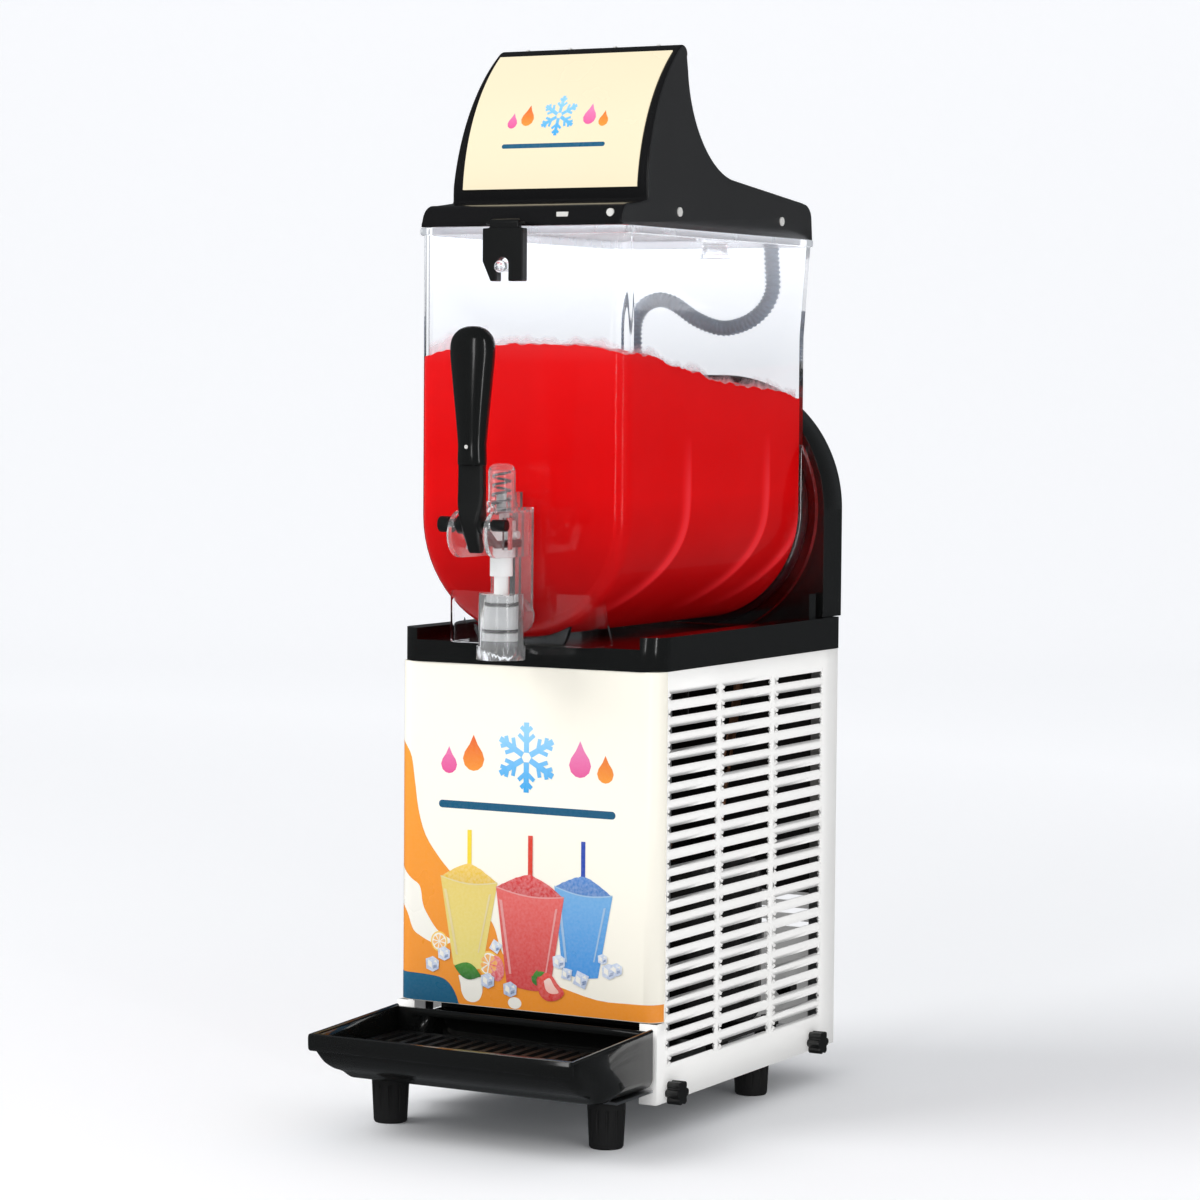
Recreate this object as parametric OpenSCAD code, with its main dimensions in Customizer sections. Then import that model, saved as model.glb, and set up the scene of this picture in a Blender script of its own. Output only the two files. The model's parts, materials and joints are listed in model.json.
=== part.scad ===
// Single-bowl frozen drink machine with a lit lid, a clear bowl and a piston tap.
// Millimetres. +Z is up, the front faces -Y, and the origin is on the floor under the middle.

/* [Cabinet] */
// Width over the side panels
cab_w = 230; // [226:1:240]
// Y of the front panel's face
panel_y = -100; // [-102:1:-98]
// Y of the rear panel's face
cab_back_y = 215; // [214:1:218]
// Height of the side panels' lower edge
side_z = 26; // [25:0.5:27]
// Height of the front panel's lower edge
front_z = 88; // [86:1:92]
// Height of the panels' upper edge, where the deck sits
deck_z = 354; // [350:1:356]
// Height of the deck's rim
deck_top_z = 380; // [379:1:381]
// Thickness of the sheet panels
sheet = 2; // [1.5:0.5:2]
// Height of the rubber feet
foot_h = 36; // [34:1:36]

/* [Side grilles] */
// Rows of slots in a side panel
slot_rows = 23; // [10:1:23]
// Height from one row of slots to the next
slot_pitch = 12.6; // [10:0.1:12.8]
// Height of a slot
slot_h = 5; // [3:0.5:6]
// Length of a slot
slot_l = 83; // [70:1:84]

/* [Bowl] */
// Width of the bowl over its side walls
bowl_w = 182; // [178:1:184]
// Thickness of the clear walls
bowl_wall = 4; // [3:0.5:4]
// Height of the drum axis, which is also the centre of the round bottom
axis_z = 468; // [467:1:469]
// Y of the bowl's front face
bowl_front_y = -113; // [-114:1:-112]
// Y of the bowl's back face
bowl_back_y = 193; // [192:0.5:193]
// Height of the top of the bowl's rim
rim_z = 689; // [680:1:700]

/* [Tap] */
// Y of the piston's axis
tap_y = -140; // [-141:1:-139]
// Inner diameter of the spout
spout_d = 28; // [26:0.5:28]
// Distance from the piston's axis forward to the lever pin
lever_arm = 44; // [43:0.5:44]
// Height of the lever pin
pin_z = 465; // [464:0.5:465]
// Diameter of the lever pin
pin_d = 6; // [5:0.5:6]

/* [Lid] */
// Height of the top of the lid
lid_top_z = 831; // [820:1:840]
// Width of the lid at the rim
lid_w = 176; // [170:1:180]
// Width of the lid at the top of the sign
lid_top_w = 162; // [160:1:170]
// Width of the lit sign
sign_w = 153; // [140:1:154]

/* [Drip tray] */
// Width of the tray's scoop
tray_w = 228; // [220:1:230]
// Y of the tray's front lip
tray_front_y = -232; // [-236:1:-228]
// Height of the tray's front lip
tray_lip_z = 80; // [76:1:80]

/* [Hidden] */

$fn = 64;
half_w = cab_w / 2;
bowl_r = bowl_w / 2;
bowl_in_r = bowl_r - bowl_wall;
tower_r = 110;
tower_front_y = 196;
tower_back_y = 231;
channel_z = 371;
base_z = foot_h;
base_t = 2;
foot_x = 95;
foot_ys = [-142, 102];
knob_ys = [-77, 173];
knob_z = 33;
knob_screw_r = 2.5;
running = 0.05;
slot_top_z = 332;
slot_ys = [-88, 5, 100];
drum_r = 60;
drum_front_y = -36;
flange_r = 81;
auger_in_r = 63;
auger_out_r = 80;
shaft_r = 6;
pin_y = tap_y - lever_arm;
pin_r = pin_d / 2;
spout_r = spout_d / 2;
spout_bottom_z = 362;
spout_top_z = 412;
collar_z = 473;
port_z = 394;
port_r = 10;
prong_top_z = pin_z - 12;
lug_r = 3;
lug_gap = 0.4;
lug_z = prong_top_z + lug_r + lug_gap;
latch_x = -8;
latch_y = -123;
latch_pin_z = 691;
nub_z = 658;
lid_wall = 3;
lid_back_y = 216;
hose_x = 44;
hose_y = 225;
plug_x = -84;
plug_z = 565;
fan_y = 95;
fan_z = 180;
compressor_xy = [38, 110];
rocker_z = 300;
rocker_xs = [-60, -30];
gland_xz = [75, 70];
cover_holes = [[-80, 400], [80, 400], [-62, 535], [62, 535]];
tray_in_y = -62;
grid_z = 62;
hose_top_z = 690;
hose_route = [
    [44, 225, 690], [44, 225, 677], [45, 225, 663], [45, 225, 648], [39, 225, 635],
    [28, 225, 625], [14, 225, 619], [0, 225, 617], [-14, 225, 620], [-28, 225, 626],
    [-40, 225, 634], [-50, 225, 639], [-60, 225, 641], [-69, 225, 639], [-77, 225, 634],
    [-82, 225, 626], [-84, 225, 617], [-84, 225, 604], [-84, 225, 593]
];

black = [0.09, 0.09, 0.09];
clear = [0.85, 0.92, 0.97, 0.35];
white = [0.94, 0.94, 0.93];
cream = [1, 0.98, 0.92];
steel = [0.72, 0.73, 0.75];
copper = [0.72, 0.42, 0.25];

// Points of a circular arc from a to b that bulges by sag to the left of the way from a to b.
function arc(a, b, sag, n = 12) =
    let (d = b - a, len = norm(d), u = d / len, side = [-u[1], u[0]],
         r = (len * len / 4 + sag * sag) / (2 * abs(sag)),
         c = (a + b) / 2 + side * (sag - sign(sag) * r),
         t0 = atan2(a[1] - c[1], a[0] - c[0]),
         t1 = atan2(b[1] - c[1], b[0] - c[0]),
         turn = ((t1 - t0 + 540) % 360) - 180)
    [for (i = [0:n]) c + r * [cos(t0 + turn * i / n), sin(t0 + turn * i / n)]];

// Extrudes an XZ outline from y0 to y1.
module span_y(y0, y1) {
    translate([0, y1, 0]) rotate([90, 0, 0]) linear_extrude(y1 - y0) children();
}

// Extrudes a YZ outline from x0 to x1.
module span_x(x0, x1) {
    translate([x0, 0, 0]) rotate([90, 0, 90]) linear_extrude(x1 - x0) children();
}

// Box from its lowest corner to its highest corner.
module box(low, high) {
    translate(low) cube(high - low);
}

// Cylinder along Y at a point of the XZ plane.
module rod_y(x, z, y0, y1, r) {
    translate([x, y0, z]) rotate([-90, 0, 0]) cylinder(h = y1 - y0, r = r);
}

// Cylinder along X at a point of the YZ plane.
module rod_x(y, z, x0, x1, r) {
    translate([x0, y, z]) rotate([0, 90, 0]) cylinder(h = x1 - x0, r = r);
}

// Rectangle with four round corners.
module round_rect(low, high, r) {
    for (x = [low[0] + r, high[0] - r], y = [low[1] + r, high[1] - r]) translate([x, y]) circle(r);
    translate([low[0] + r, low[1]]) square([high[0] - low[0] - 2 * r, high[1] - low[1]]);
    translate([low[0], low[1] + r]) square([high[0] - low[0], high[1] - low[1] - 2 * r]);
}

// Points of a rectangle whose four corners are rounded in n steps.
function rounded(low, high, r, n = 5) = [
    for (q = [0:3], i = [0:n])
        let (a = 90 * q + 90 * i / n)
        [(q == 0 || q == 3 ? high[0] - r : low[0] + r) + r * cos(a),
         (q < 2 ? high[1] - r : low[1] + r) + r * sin(a)]];

// Tube swept along a route, with one ring of sides at every route point.
module sweep(route, r, sides = 8) {
    last = len(route) - 1;
    ahead = [for (i = [0:last])
        let (d = route[min(i + 1, last)] - route[max(i - 1, 0)]) d / norm(d)];
    rings = [for (i = [0:last])
        let (t = ahead[i],
             flat = abs(t[1]) < 0.9 ? [0, 1, 0] : [1, 0, 0],
             a = cross(t, flat) / norm(cross(t, flat)),
             b = cross(t, a))
        for (k = [0:sides - 1])
            route[i] + r * (a * cos(360 * k / sides) + b * sin(360 * k / sides))];
    walls = [for (i = [0:last - 1], k = [0:sides - 1])
        let (n = (k + 1) % sides)
        each [[i * sides + k, i * sides + n, (i + 1) * sides + k],
              [i * sides + n, (i + 1) * sides + n, (i + 1) * sides + k]]];
    start_cap = [for (k = [sides - 1:-1:0]) k];
    end_cap = [for (k = [0:sides - 1]) last * sides + k];
    polyhedron(points = rings, faces = concat([start_cap], walls, [end_cap]));
}

// ---- Cabinet ----

module base_plate() {
    color(steel) difference() {
        union() {
            box([-112.5, -158, base_z], [112.5, 213, base_z + base_t]);
            for (side = [-1, 1]) {
                x = side > 0 ? 110.5 : -112.5;
                box([x, -84, side_z + 1], [x + 2, 213, base_z]);
            }
        }
        for (y = knob_ys) rod_x(y, knob_z, -120, 120, knob_screw_r + running);
        for (x = [-120, 99]) box([x, panel_y - 0.5, 30], [x + 21, panel_y + sheet + 0.5, 40]);
    }
}

// Four ribbed, tapered rubber feet.
module feet() {
    grooves = 12;
    for (x = [-foot_x, foot_x], y = foot_ys) color(black) translate([x, y, 0]) difference() {
        rotate_extrude() polygon([[0, 0], [12, 0], [13, 1.5], [14.5, base_z - 6], [14.5, base_z],
                                  [0, base_z]]);
        for (i = [0:grooves - 1])
            rotate(360 * i / grooves) translate([14.6, 0, 2]) cylinder(h = base_z - 8, r = 1.4, $fn = 24);
    }
}

module frame() {
    color(steel) {
        for (x = [-111, 99], y = [-84, 198]) box([x, y, base_z + base_t], [x + 12, y + 12, deck_z]);
        for (x = [-111, 99]) box([x, -72, deck_z - 12], [x + 12, 198, deck_z]);
        box([-99, -84, deck_z - 12], [99, -72, deck_z]);
        box([-99, 209, deck_z - 12], [99, 212, deck_z]);
    }
}

// Folded front panel with round vertical corners.
module front_panel() {
    wrap_y = panel_y + 13;
    r = 12;
    color(cream) translate([0, 0, front_z]) linear_extrude(deck_z - front_z) intersection() {
        difference() {
            round_rect([-half_w, panel_y], [half_w, panel_y + 60], r);
            round_rect([sheet - half_w, panel_y + sheet], [half_w - sheet, panel_y + 60], r - sheet);
        }
        translate([-half_w, panel_y]) square([cab_w, wrap_y - panel_y]);
    }
}

// Slotted side panel with a front return flange under the front panel's edge. The lowest slot at
// the front is cut short, because the flange is there.
module side_panel(side) {
    x0 = side > 0 ? half_w - sheet : -half_w;
    flange_x = side > 0 ? half_w - 15 : -half_w;
    color(white) difference() {
        union() {
            box([x0, panel_y + 13.3, side_z], [x0 + sheet, cab_back_y, deck_z]);
            box([x0, panel_y, side_z], [x0 + sheet, panel_y + 13.3, front_z - 0.5]);
            box([flange_x, panel_y, side_z], [flange_x + 15, panel_y + sheet, front_z - 0.5]);
        }
        for (column = [0:2], row = [0:slot_rows - 1]) {
            cut = column == 0 && row == slot_rows - 1 ? 8 : 0;
            translate([x0 - 1, slot_ys[column] + cut, slot_top_z - slot_pitch * row])
                cube([sheet + 2, slot_l - cut, slot_h]);
        }
        for (y = knob_ys) rod_x(y, knob_z, -120, 120, knob_screw_r + running);
    }
}
module side_panel_left() { side_panel(-1); }
module side_panel_right() { side_panel(1); }

module rear_panel() {
    color(white) difference() {
        box([-111, cab_back_y - sheet, base_z + base_t], [111, cab_back_y, deck_z]);
        for (x = [-96, 4], i = [0:13])
            box([x, 200, 120 + 11 * i], [x + 92, 220, 125 + 11 * i]);
        for (x = rocker_xs) box([x - 9.2, 200, rocker_z - 13.2], [x + 9.2, 220, rocker_z + 13.2]);
        rod_y(gland_xz[0], gland_xz[1], 200, 220, 7.05);
        for (x = [-104, 104], z = [60, 340]) rod_y(x, z, 200, 220, 2.05);
    }
}

// Pan-head screws of the rear panel and of the tower's back cover.
module rear_screws() {
    color(steel) {
        for (x = [-104, 104], z = [60, 340]) {
            rod_y(x, z, cab_back_y - 4, cab_back_y, 2);
            rod_y(x, z, cab_back_y, cab_back_y + 2, 4);
        }
        for (p = cover_holes) {
            rod_y(p[0], p[1], tower_back_y - 10, tower_back_y, 2);
            rod_y(p[0], p[1], tower_back_y, tower_back_y + 1, 4);
        }
    }
}

// Lobed thumb knob with its screw.
module knob(side, y) {
    x0 = side > 0 ? half_w : -half_w - 11;
    lobes = 6;
    color(black) {
        for (i = [0:lobes - 1])
            rod_x(y + 6.6 * cos(360 * i / lobes), knob_z + 6.6 * sin(360 * i / lobes),
                  x0, x0 + 11, 3, $fn = 32);
        rod_x(y, knob_z, x0, x0 + 11, 7);
        rod_x(y, knob_z, side > 0 ? 108 : -half_w, side > 0 ? half_w : -108, knob_screw_r);
    }
}
module knob_front_left() { knob(-1, knob_ys[0]); }
module knob_front_right() { knob(1, knob_ys[0]); }
module knob_rear_left() { knob(-1, knob_ys[1]); }
module knob_rear_right() { knob(1, knob_ys[1]); }

// Black inner wall that closes the space behind the drip tray.
module tray_recess() {
    back_y = tray_in_y + 2;
    color(black) {
        box([-99, back_y, base_z + base_t], [99, back_y + 2, 110]);
        box([-99, panel_y + 5, 108], [99, back_y, 110]);
    }
}

// ---- Deck and tower ----

// Moulded deck with a channel under the bowl and two posts beside the bowl's flange.
module deck() {
    corner_r = 18;
    color(black) difference() {
        union() {
            translate([0, 0, deck_z]) linear_extrude(deck_top_z - deck_z) {
                round_rect([-half_w, panel_y - 1], [half_w, 150], corner_r);
                translate([-half_w, 100]) square([cab_w, 116]);
            }
            for (x = [-107, 99]) box([x, 176, deck_top_z - 1], [x + 8, 188, deck_top_z + 20]);
        }
        box([-98, -120, channel_z], [98, tower_front_y, 400]);
        box([-60, 200, 340], [60, 212, 400]);
    }
}

// Outline of the tower, an arch around the drum axis.
module arch(r, foot_z) {
    intersection() {
        translate([0, axis_z]) circle(r, $fn = 128);
        translate([-r, axis_z]) square([2 * r, r]);
    }
    translate([-r, foot_z]) square([2 * r, axis_z - foot_z + 0.01]);
}

module tower() {
    wall = 3;
    foot = [plug_x - 14, 214, axis_z + 40];
    color(black) difference() {
        union() {
            span_y(tower_front_y, tower_back_y) arch(tower_r, deck_top_z);
            box(foot, [plug_x + 14, tower_back_y, plug_z]);
        }
        span_y(tower_front_y + wall, tower_back_y + 1) arch(tower_r - wall, deck_top_z + wall);
        box([-60, 200, deck_top_z - 1], [60, 212, deck_top_z + wall + 1]);
        rod_y(0, axis_z, 190, 205, 58);
    }
}

module tower_back_cover() {
    inset = 3.3;
    color(black) difference() {
        span_y(tower_back_y - 2, tower_back_y) arch(tower_r - inset, deck_top_z + inset);
        for (i = [0:7]) box([-45, 220, 420 + 11 * i], [45, 240, 425 + 11 * i]);
        for (p = cover_holes) rod_y(p[0], p[1], 220, 240, 2.05);
    }
}

// ---- Cooling drum and drive ----

module evaporator_drum() {
    wall = 2;
    color(steel) difference() {
        rod_y(0, axis_z, drum_front_y, 188, drum_r);
        rod_y(0, axis_z, drum_front_y + 4, 189, drum_r - wall);
        rod_y(0, axis_z, drum_front_y - 1, drum_front_y + 5, 11);
    }
}

module drum_flange() {
    color(white) difference() {
        rod_y(0, axis_z, 180, tower_front_y, flange_r);
        rod_y(0, axis_z, 179, 197, drum_r);
    }
}

module bowl_gasket() {
    color(black) difference() {
        rod_y(0, axis_z, bowl_back_y, tower_front_y, 96);
        rod_y(0, axis_z, 190, 197, flange_r + 2);
    }
}

// Copper evaporator coil that lines the drum.
module evaporator_coil() {
    turns = 6;
    per_turn = 12;
    wire = 3.5;
    route = [for (i = [0:turns * per_turn])
        let (t = 360 * i / per_turn)
        [51 * cos(t), -10 + 160 * i / (turns * per_turn), axis_z + 51 * sin(t)]];
    color(copper) sweep(route, wire);
}

module shaft_seal() {
    color(black) difference() {
        rod_y(0, axis_z, drum_front_y - 4, drum_front_y + 4, 10.9);
        rod_y(0, axis_z, drum_front_y - 5, drum_front_y + 5, shaft_r + running);
    }
}

module gear_motor() {
    color(steel) difference() {
        union() {
            rod_y(0, axis_z, 96, 172, 34);
            rod_y(0, axis_z, 172, 194, 44);
            rod_y(0, axis_z, 86, 96, 14);
        }
        rod_y(0, axis_z, 80, 120, shaft_r + running);
    }
}

module motor_bracket() {
    color(steel) {
        difference() {
            rod_y(0, axis_z, 199, 202, 46);
            rod_y(0, axis_z, 198, 203, 20);
        }
        for (x = [-27, 27], z = [-27, 27]) rod_y(x, axis_z + z, 194, 199, 4);
        for (x = [-90, 44]) box([x, 199, axis_z - 8], [x + 46, 202, axis_z + 8]);
    }
}

module drive_shaft() {
    color(steel) rod_y(0, axis_z, -58, 119, shaft_r);
}

// Scraper spiral around the drum.
module auger_spiral() {
    turns = 2.2;
    steps = 44;
    y0 = -92;
    y1 = 172;
    thick = 5;
    ring = [for (i = [0:steps])
        let (a = 360 * turns * i / steps + 200, y = y0 + (y1 - y0) * i / steps)
        each [[auger_in_r * cos(a), y, auger_in_r * sin(a)], [auger_out_r * cos(a), y, auger_out_r * sin(a)],
              [auger_out_r * cos(a), y + thick, auger_out_r * sin(a)],
              [auger_in_r * cos(a), y + thick, auger_in_r * sin(a)]]];
    walls = [for (i = [0:steps - 1], k = [0:3])
        let (n = (k + 1) % 4)
        each [[i * 4 + k, (i + 1) * 4 + k, i * 4 + n],
              [i * 4 + n, (i + 1) * 4 + k, (i + 1) * 4 + n]]];
    color(white) translate([0, 0, axis_z])
        polyhedron(points = ring, faces = concat([[0, 1, 2, 3]], walls,
            [[for (k = [3:-1:0]) steps * 4 + k]]));
}

// Nose on the shaft, with the arm that drives the spiral's front end.
module auger_hub() {
    arm_a = 200;
    color(white) difference() {
        union() {
            rod_y(0, axis_z, -82, -42, 17);
            translate([0, -82, axis_z]) sphere(17);
            translate([0, 0, axis_z]) rotate([0, -arm_a, 0])
                box([10, -92, -6], [auger_in_r - 0.5, -82, 6]);
            translate([0, 0, axis_z]) rotate([0, -arm_a, 0])
                box([auger_in_r - 1, -86.5, -6], [auger_out_r, -81, 6]);
        }
        rod_y(0, axis_z, -58.2, -41, shaft_r);
    }
}

// ---- Refrigeration ----

module compressor() {
    r = 55;
    color(black) translate([compressor_xy[0], compressor_xy[1], 0]) {
        translate([0, 0, 52]) rotate_extrude()
            polygon(concat([[0, 0]], arc([38, 0], [r, 17], -5), [[r, 70], [r + 2, 70], [r + 2, 74], [r, 74]],
                           arc([r, 120], [30, 146], -9), [[0, 148]]));
        difference() {
            box([-52, -52, 47], [52, 52, 52]);
            for (x = [-44, 44], y = [-44, 44]) translate([x, y, 40]) cylinder(h = 20, r = 4);
        }
    }
}

module compressor_mounts() {
    color(black) for (x = [-44, 44], y = [-44, 44])
        translate([compressor_xy[0] + x, compressor_xy[1] + y, base_z + base_t]) {
            cylinder(h = 9, r = 9);
            cylinder(h = 17, r = 3.9);
        }
}

// Finned block with its tubes and end plates.
module condenser() {
    fins = 26;
    color(steel) {
        for (i = [0:fins - 1]) box([-108, 6 + 7 * i, 62], [-84, 7 + 7 * i, 300]);
        for (y = [0, 188]) box([-109, y, base_z + base_t], [-83, y + 2, 302]);
    }
    color(copper) for (z = [80:40:280], x = [-102, -90]) rod_y(x, z, 0, 190, 3.5, $fn = 24);
}

module fan_shroud() {
    color(black) difference() {
        box([-83, 0, 84], [-62, 190, 276]);
        box([-81, 2, 86], [-61, 188, 274]);
        rod_x(fan_y, fan_z, -90, -60, 84);
    }
    color(black) difference() {
        union() {
            box([-44, fan_y - 6, 84], [-40, fan_y + 6, 276]);
            for (z = [84, 272]) box([-62, fan_y - 6, z], [-40, fan_y + 6, z + 4]);
        }
        rod_x(fan_y, fan_z, -50, -30, 22.1);
    }
}

module fan_motor() {
    color(steel) {
        rod_x(fan_y, fan_z, -52, -24, 22);
        rod_x(fan_y, fan_z, -60, -52, 3);
    }
}

module fan() {
    blades = 5;
    color(black) translate([-72, fan_y, fan_z]) rotate([0, 90, 0]) {
        difference() {
            cylinder(h = 16, r = 18);
            translate([0, 0, 4]) cylinder(h = 20, r = 3 + running);
        }
        for (i = [0:blades - 1]) rotate(360 * i / blades)
            translate([16, -14, 1]) rotate([28, 0, 0]) cube([58, 30, 1.6]);
    }
}

module filter_drier() {
    color(copper) translate([-20, 30, 220]) rotate([0, 25, 0]) {
        cylinder(h = 90, r = 10);
        translate([0, 0, -14]) cylinder(h = 118, r = 3);
    }
}

module suction_pipe() {
    route = [[30, 160, 425], [30, 175, 425], [30, 190, 425], [30, 198, 424.5], [30, 202.5, 420],
             [30, 204.5, 411], [30, 204.5, 390], [30, 204.5, 360], [30, 204.5, 335], [30, 201, 312],
             [31, 192, 290], [33, 181, 270], [36, 169, 253], [40, 156, 240], [45, 143, 228],
             [48, 133, 215], [49, 128, 200.3]];
    color(copper) sweep(route, 4);
}

module discharge_pipe() {
    route = [[14, 110, 199.3], [12, 110, 214], [2, 112, 232], [-8, 118, 248], [-18, 126, 262],
             [-32, 136, 276], [-46, 146, 288], [-60, 156, 298], [-74, 164, 304], [-88, 170, 306],
             [-96, 172, 302]];
    color(copper) sweep(route, 3);
}

module control_box() {
    color(white) difference() {
        box([-70, -92, 236], [70, -48, 330]);
        box([-67, -95, 239], [67, -51, 327]);
    }
    color([0.1, 0.35, 0.2]) box([-62, -56, 244], [62, -54, 322]);
    for (x = [-50, -10, 30]) color(black) box([x, -76, 252], [x + 22, -56, 290]);
    color(steel) for (x = [-58, 58], z = [248, 318]) rod_y(x, z, -54, -51, 3);
}

// ---- Rear switches ----

module switch_bezels() {
    color(black) for (x = rocker_xs) difference() {
        union() {
            box([x - 11, cab_back_y, rocker_z - 15], [x + 11, cab_back_y + 2, rocker_z + 15]);
            box([x - 9, cab_back_y - 15, rocker_z - 13], [x + 9, cab_back_y, rocker_z + 13]);
        }
        box([x - 7, cab_back_y - 13, rocker_z - 11], [x + 7, cab_back_y + 3, rocker_z + 11]);
    }
}

// Rocker key on its pivot pin, a shallow vee that rests with its lower half pressed in.
module rocker(x) {
    color([0.75, 0.1, 0.08]) {
        span_x(x - 6.5, x + 6.5)
            polygon([[cab_back_y - 5, rocker_z - 9], [cab_back_y + 1, rocker_z - 9],
                     [cab_back_y + 1.5, rocker_z], [cab_back_y + 5, rocker_z + 9],
                     [cab_back_y - 5, rocker_z + 8]]);
        rod_x(cab_back_y - 2, rocker_z, x - 6.9, x + 6.9, 1.5);
    }
}
module power_rocker() { rocker(rocker_xs[0]); }
module light_rocker() { rocker(rocker_xs[1]); }

// Inlet of the mains cord.
module cable_gland() {
    color(black) difference() {
        union() {
            rod_y(gland_xz[0], gland_xz[1], cab_back_y - 14, cab_back_y, 7);
            rod_y(gland_xz[0], gland_xz[1], cab_back_y, cab_back_y + 5, 11, $fn = 6);
            rod_y(gland_xz[0], gland_xz[1], cab_back_y + 5, cab_back_y + 14, 8);
        }
        rod_y(gland_xz[0], gland_xz[1], 190, 240, 4);
    }
}

// ---- Bowl ----

// Trough outline: straight sides over a half-round bottom.
module trough(r, top_z) {
    translate([0, axis_z]) circle(r, $fn = 128);
    translate([-r, axis_z]) square([2 * r, top_z - axis_z]);
}

module bowl() {
    rim_t = 6;
    rim_out = 3;
    corner_r = 9;
    flare_z = 610;
    flare_y = bowl_back_y + 12;
    side_outline = [[bowl_front_y, 300], [bowl_back_y, 300], [bowl_back_y, flare_z], [flare_y, rim_z],
                    [bowl_front_y, rim_z]];
    inner_outline = [[bowl_front_y + bowl_wall, 300], [bowl_back_y - bowl_wall, 300],
                     [bowl_back_y - bowl_wall, flare_z], [flare_y - bowl_wall, rim_z + 0.1],
                     [bowl_front_y + bowl_wall, rim_z + 0.1]];
    color(clear) difference() {
        union() {
            intersection() {
                span_y(bowl_front_y, flare_y) trough(bowl_r, rim_z);
                span_x(-bowl_r, bowl_r) polygon(side_outline);
                translate([0, 0, 300]) linear_extrude(500)
                    polygon(rounded([-bowl_r, bowl_front_y], [bowl_r, flare_y], corner_r));
            }
            translate([0, 0, rim_z - rim_t]) linear_extrude(rim_t)
                polygon(rounded([-bowl_r - rim_out, bowl_front_y - rim_out],
                                [bowl_r + rim_out, bowl_back_y + 21], corner_r + rim_out));
            intersection() {
                rod_y(0, axis_z, bowl_back_y - 6, bowl_back_y, 106);
                box([-120, 180, channel_z + 0.4], [120, 200, 560]);
            }
            box([-62, bowl_front_y, channel_z + 0.4], [62, bowl_front_y + bowl_wall, 411]);
            rod_y(latch_x, nub_z, latch_y - 7, bowl_front_y + 1, 3.8);
            rod_y(latch_x, nub_z, latch_y - 10, latch_y - 6.5, 4.6);
        }
        intersection() {
            span_y(bowl_front_y + bowl_wall, flare_y) trough(bowl_in_r, rim_z + 1);
            span_x(-bowl_r, bowl_r) polygon(inner_outline);
        }
        rod_y(0, axis_z, 180, 200, flange_r + 1);
        rod_y(0, port_z, bowl_front_y - 1, bowl_front_y + 6, port_r);
    }
}

// ---- Tap ----

// Clear tap moulding: spout, port neck, back plate and the two ears that hold the lever pin.
module tap_body() {
    ear_x = 13.5;
    ear_t = 4;
    back_y = -122;
    color(clear) difference() {
        union() {
            translate([0, tap_y, spout_bottom_z]) cylinder(h = spout_top_z - spout_bottom_z, r = 17);
            translate([0, tap_y, spout_bottom_z]) cylinder(h = 10, r = 18.5);
            rod_y(0, port_z, tap_y, bowl_front_y, 14);
            box([-17.5, back_y - 4, spout_top_z - 14], [17.5, back_y, collar_z + 4]);
            box([-2.5, back_y, 409], [2.5, bowl_front_y, 488]);
            translate([0, tap_y, collar_z]) cylinder(h = 4, r = 13);
            box([-13, tap_y, collar_z], [13, back_y, collar_z + 4]);
            for (x = [-ear_x - ear_t, ear_x]) span_x(x, x + ear_t) polygon(concat(
                [[back_y, 440], [back_y, 475]], arc([pin_y + 8, 475], [pin_y + 12, 440], 18, 16)));
        }
        translate([0, tap_y, spout_bottom_z - 1]) cylinder(h = spout_top_z - spout_bottom_z + 2, r = spout_r);
        translate([0, tap_y, collar_z - 1]) cylinder(h = 6, r = 9.1);
        rod_y(0, port_z, tap_y, bowl_front_y + 1, port_r);
        rod_x(pin_y, pin_z, -20, 20, pin_r + running);
        for (x = [-20, 10]) box([x, pin_y + 18, 446], [x + 10, pin_y + 30, 470]);
        box([-13.4, tap_y - 14, 411], [13.4, back_y - 4, collar_z]);
    }
}

// Screwed clear cap over the spring.
module tap_cap() {
    color(clear) translate([0, tap_y, 0]) difference() {
        rotate_extrude() polygon(concat([[0, collar_z + 4], [12, collar_z + 4], [12, collar_z + 8],
            [10.5, collar_z + 9]], arc([10.5, 503], [4, 510], -2, 8), [[0, 510]]));
        translate([0, 0, collar_z + 3]) cylinder(h = 29, r = 9.1);
    }
}

// Compression spring between the piston's shoulder and the cap.
module tap_spring() {
    turns = 5;
    per_turn = 12;
    z0 = 468.2;
    z1 = 503.6;
    route = [for (i = [0:turns * per_turn])
        let (t = 360 * i / per_turn)
        [6.8 * cos(t), tap_y + 6.8 * sin(t), z0 + (z1 - z0) * i / (turns * per_turn)]];
    color(steel) sweep(route, 1, 8);
}

// White piston: plunger, stem, guide rod and the two lugs that the lever's fork lifts.
module tap_piston() {
    color(white) {
        translate([0, tap_y, 376]) difference() {
            cylinder(h = 35, r = 13.5);
            for (z = [6, 26]) translate([0, 0, z]) difference() {
                cylinder(h = 3, r = 14);
                cylinder(h = 3, r = 11.9);
            }
        }
        translate([0, tap_y, 410]) cylinder(h = 16, r = 5.5);
        translate([0, tap_y, 425]) cylinder(h = 42, r = 8.6);
        translate([0, tap_y, 466]) cylinder(h = 22, r = 4);
        rod_x(tap_y, lug_z, -12.5, 12.5, lug_r);
    }
}

module piston_rings() {
    color(black) for (z = [383.5, 403.5]) translate([0, tap_y, z]) rotate_extrude()
        translate([12.9, 0]) circle(1, $fn = 24);
}

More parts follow.
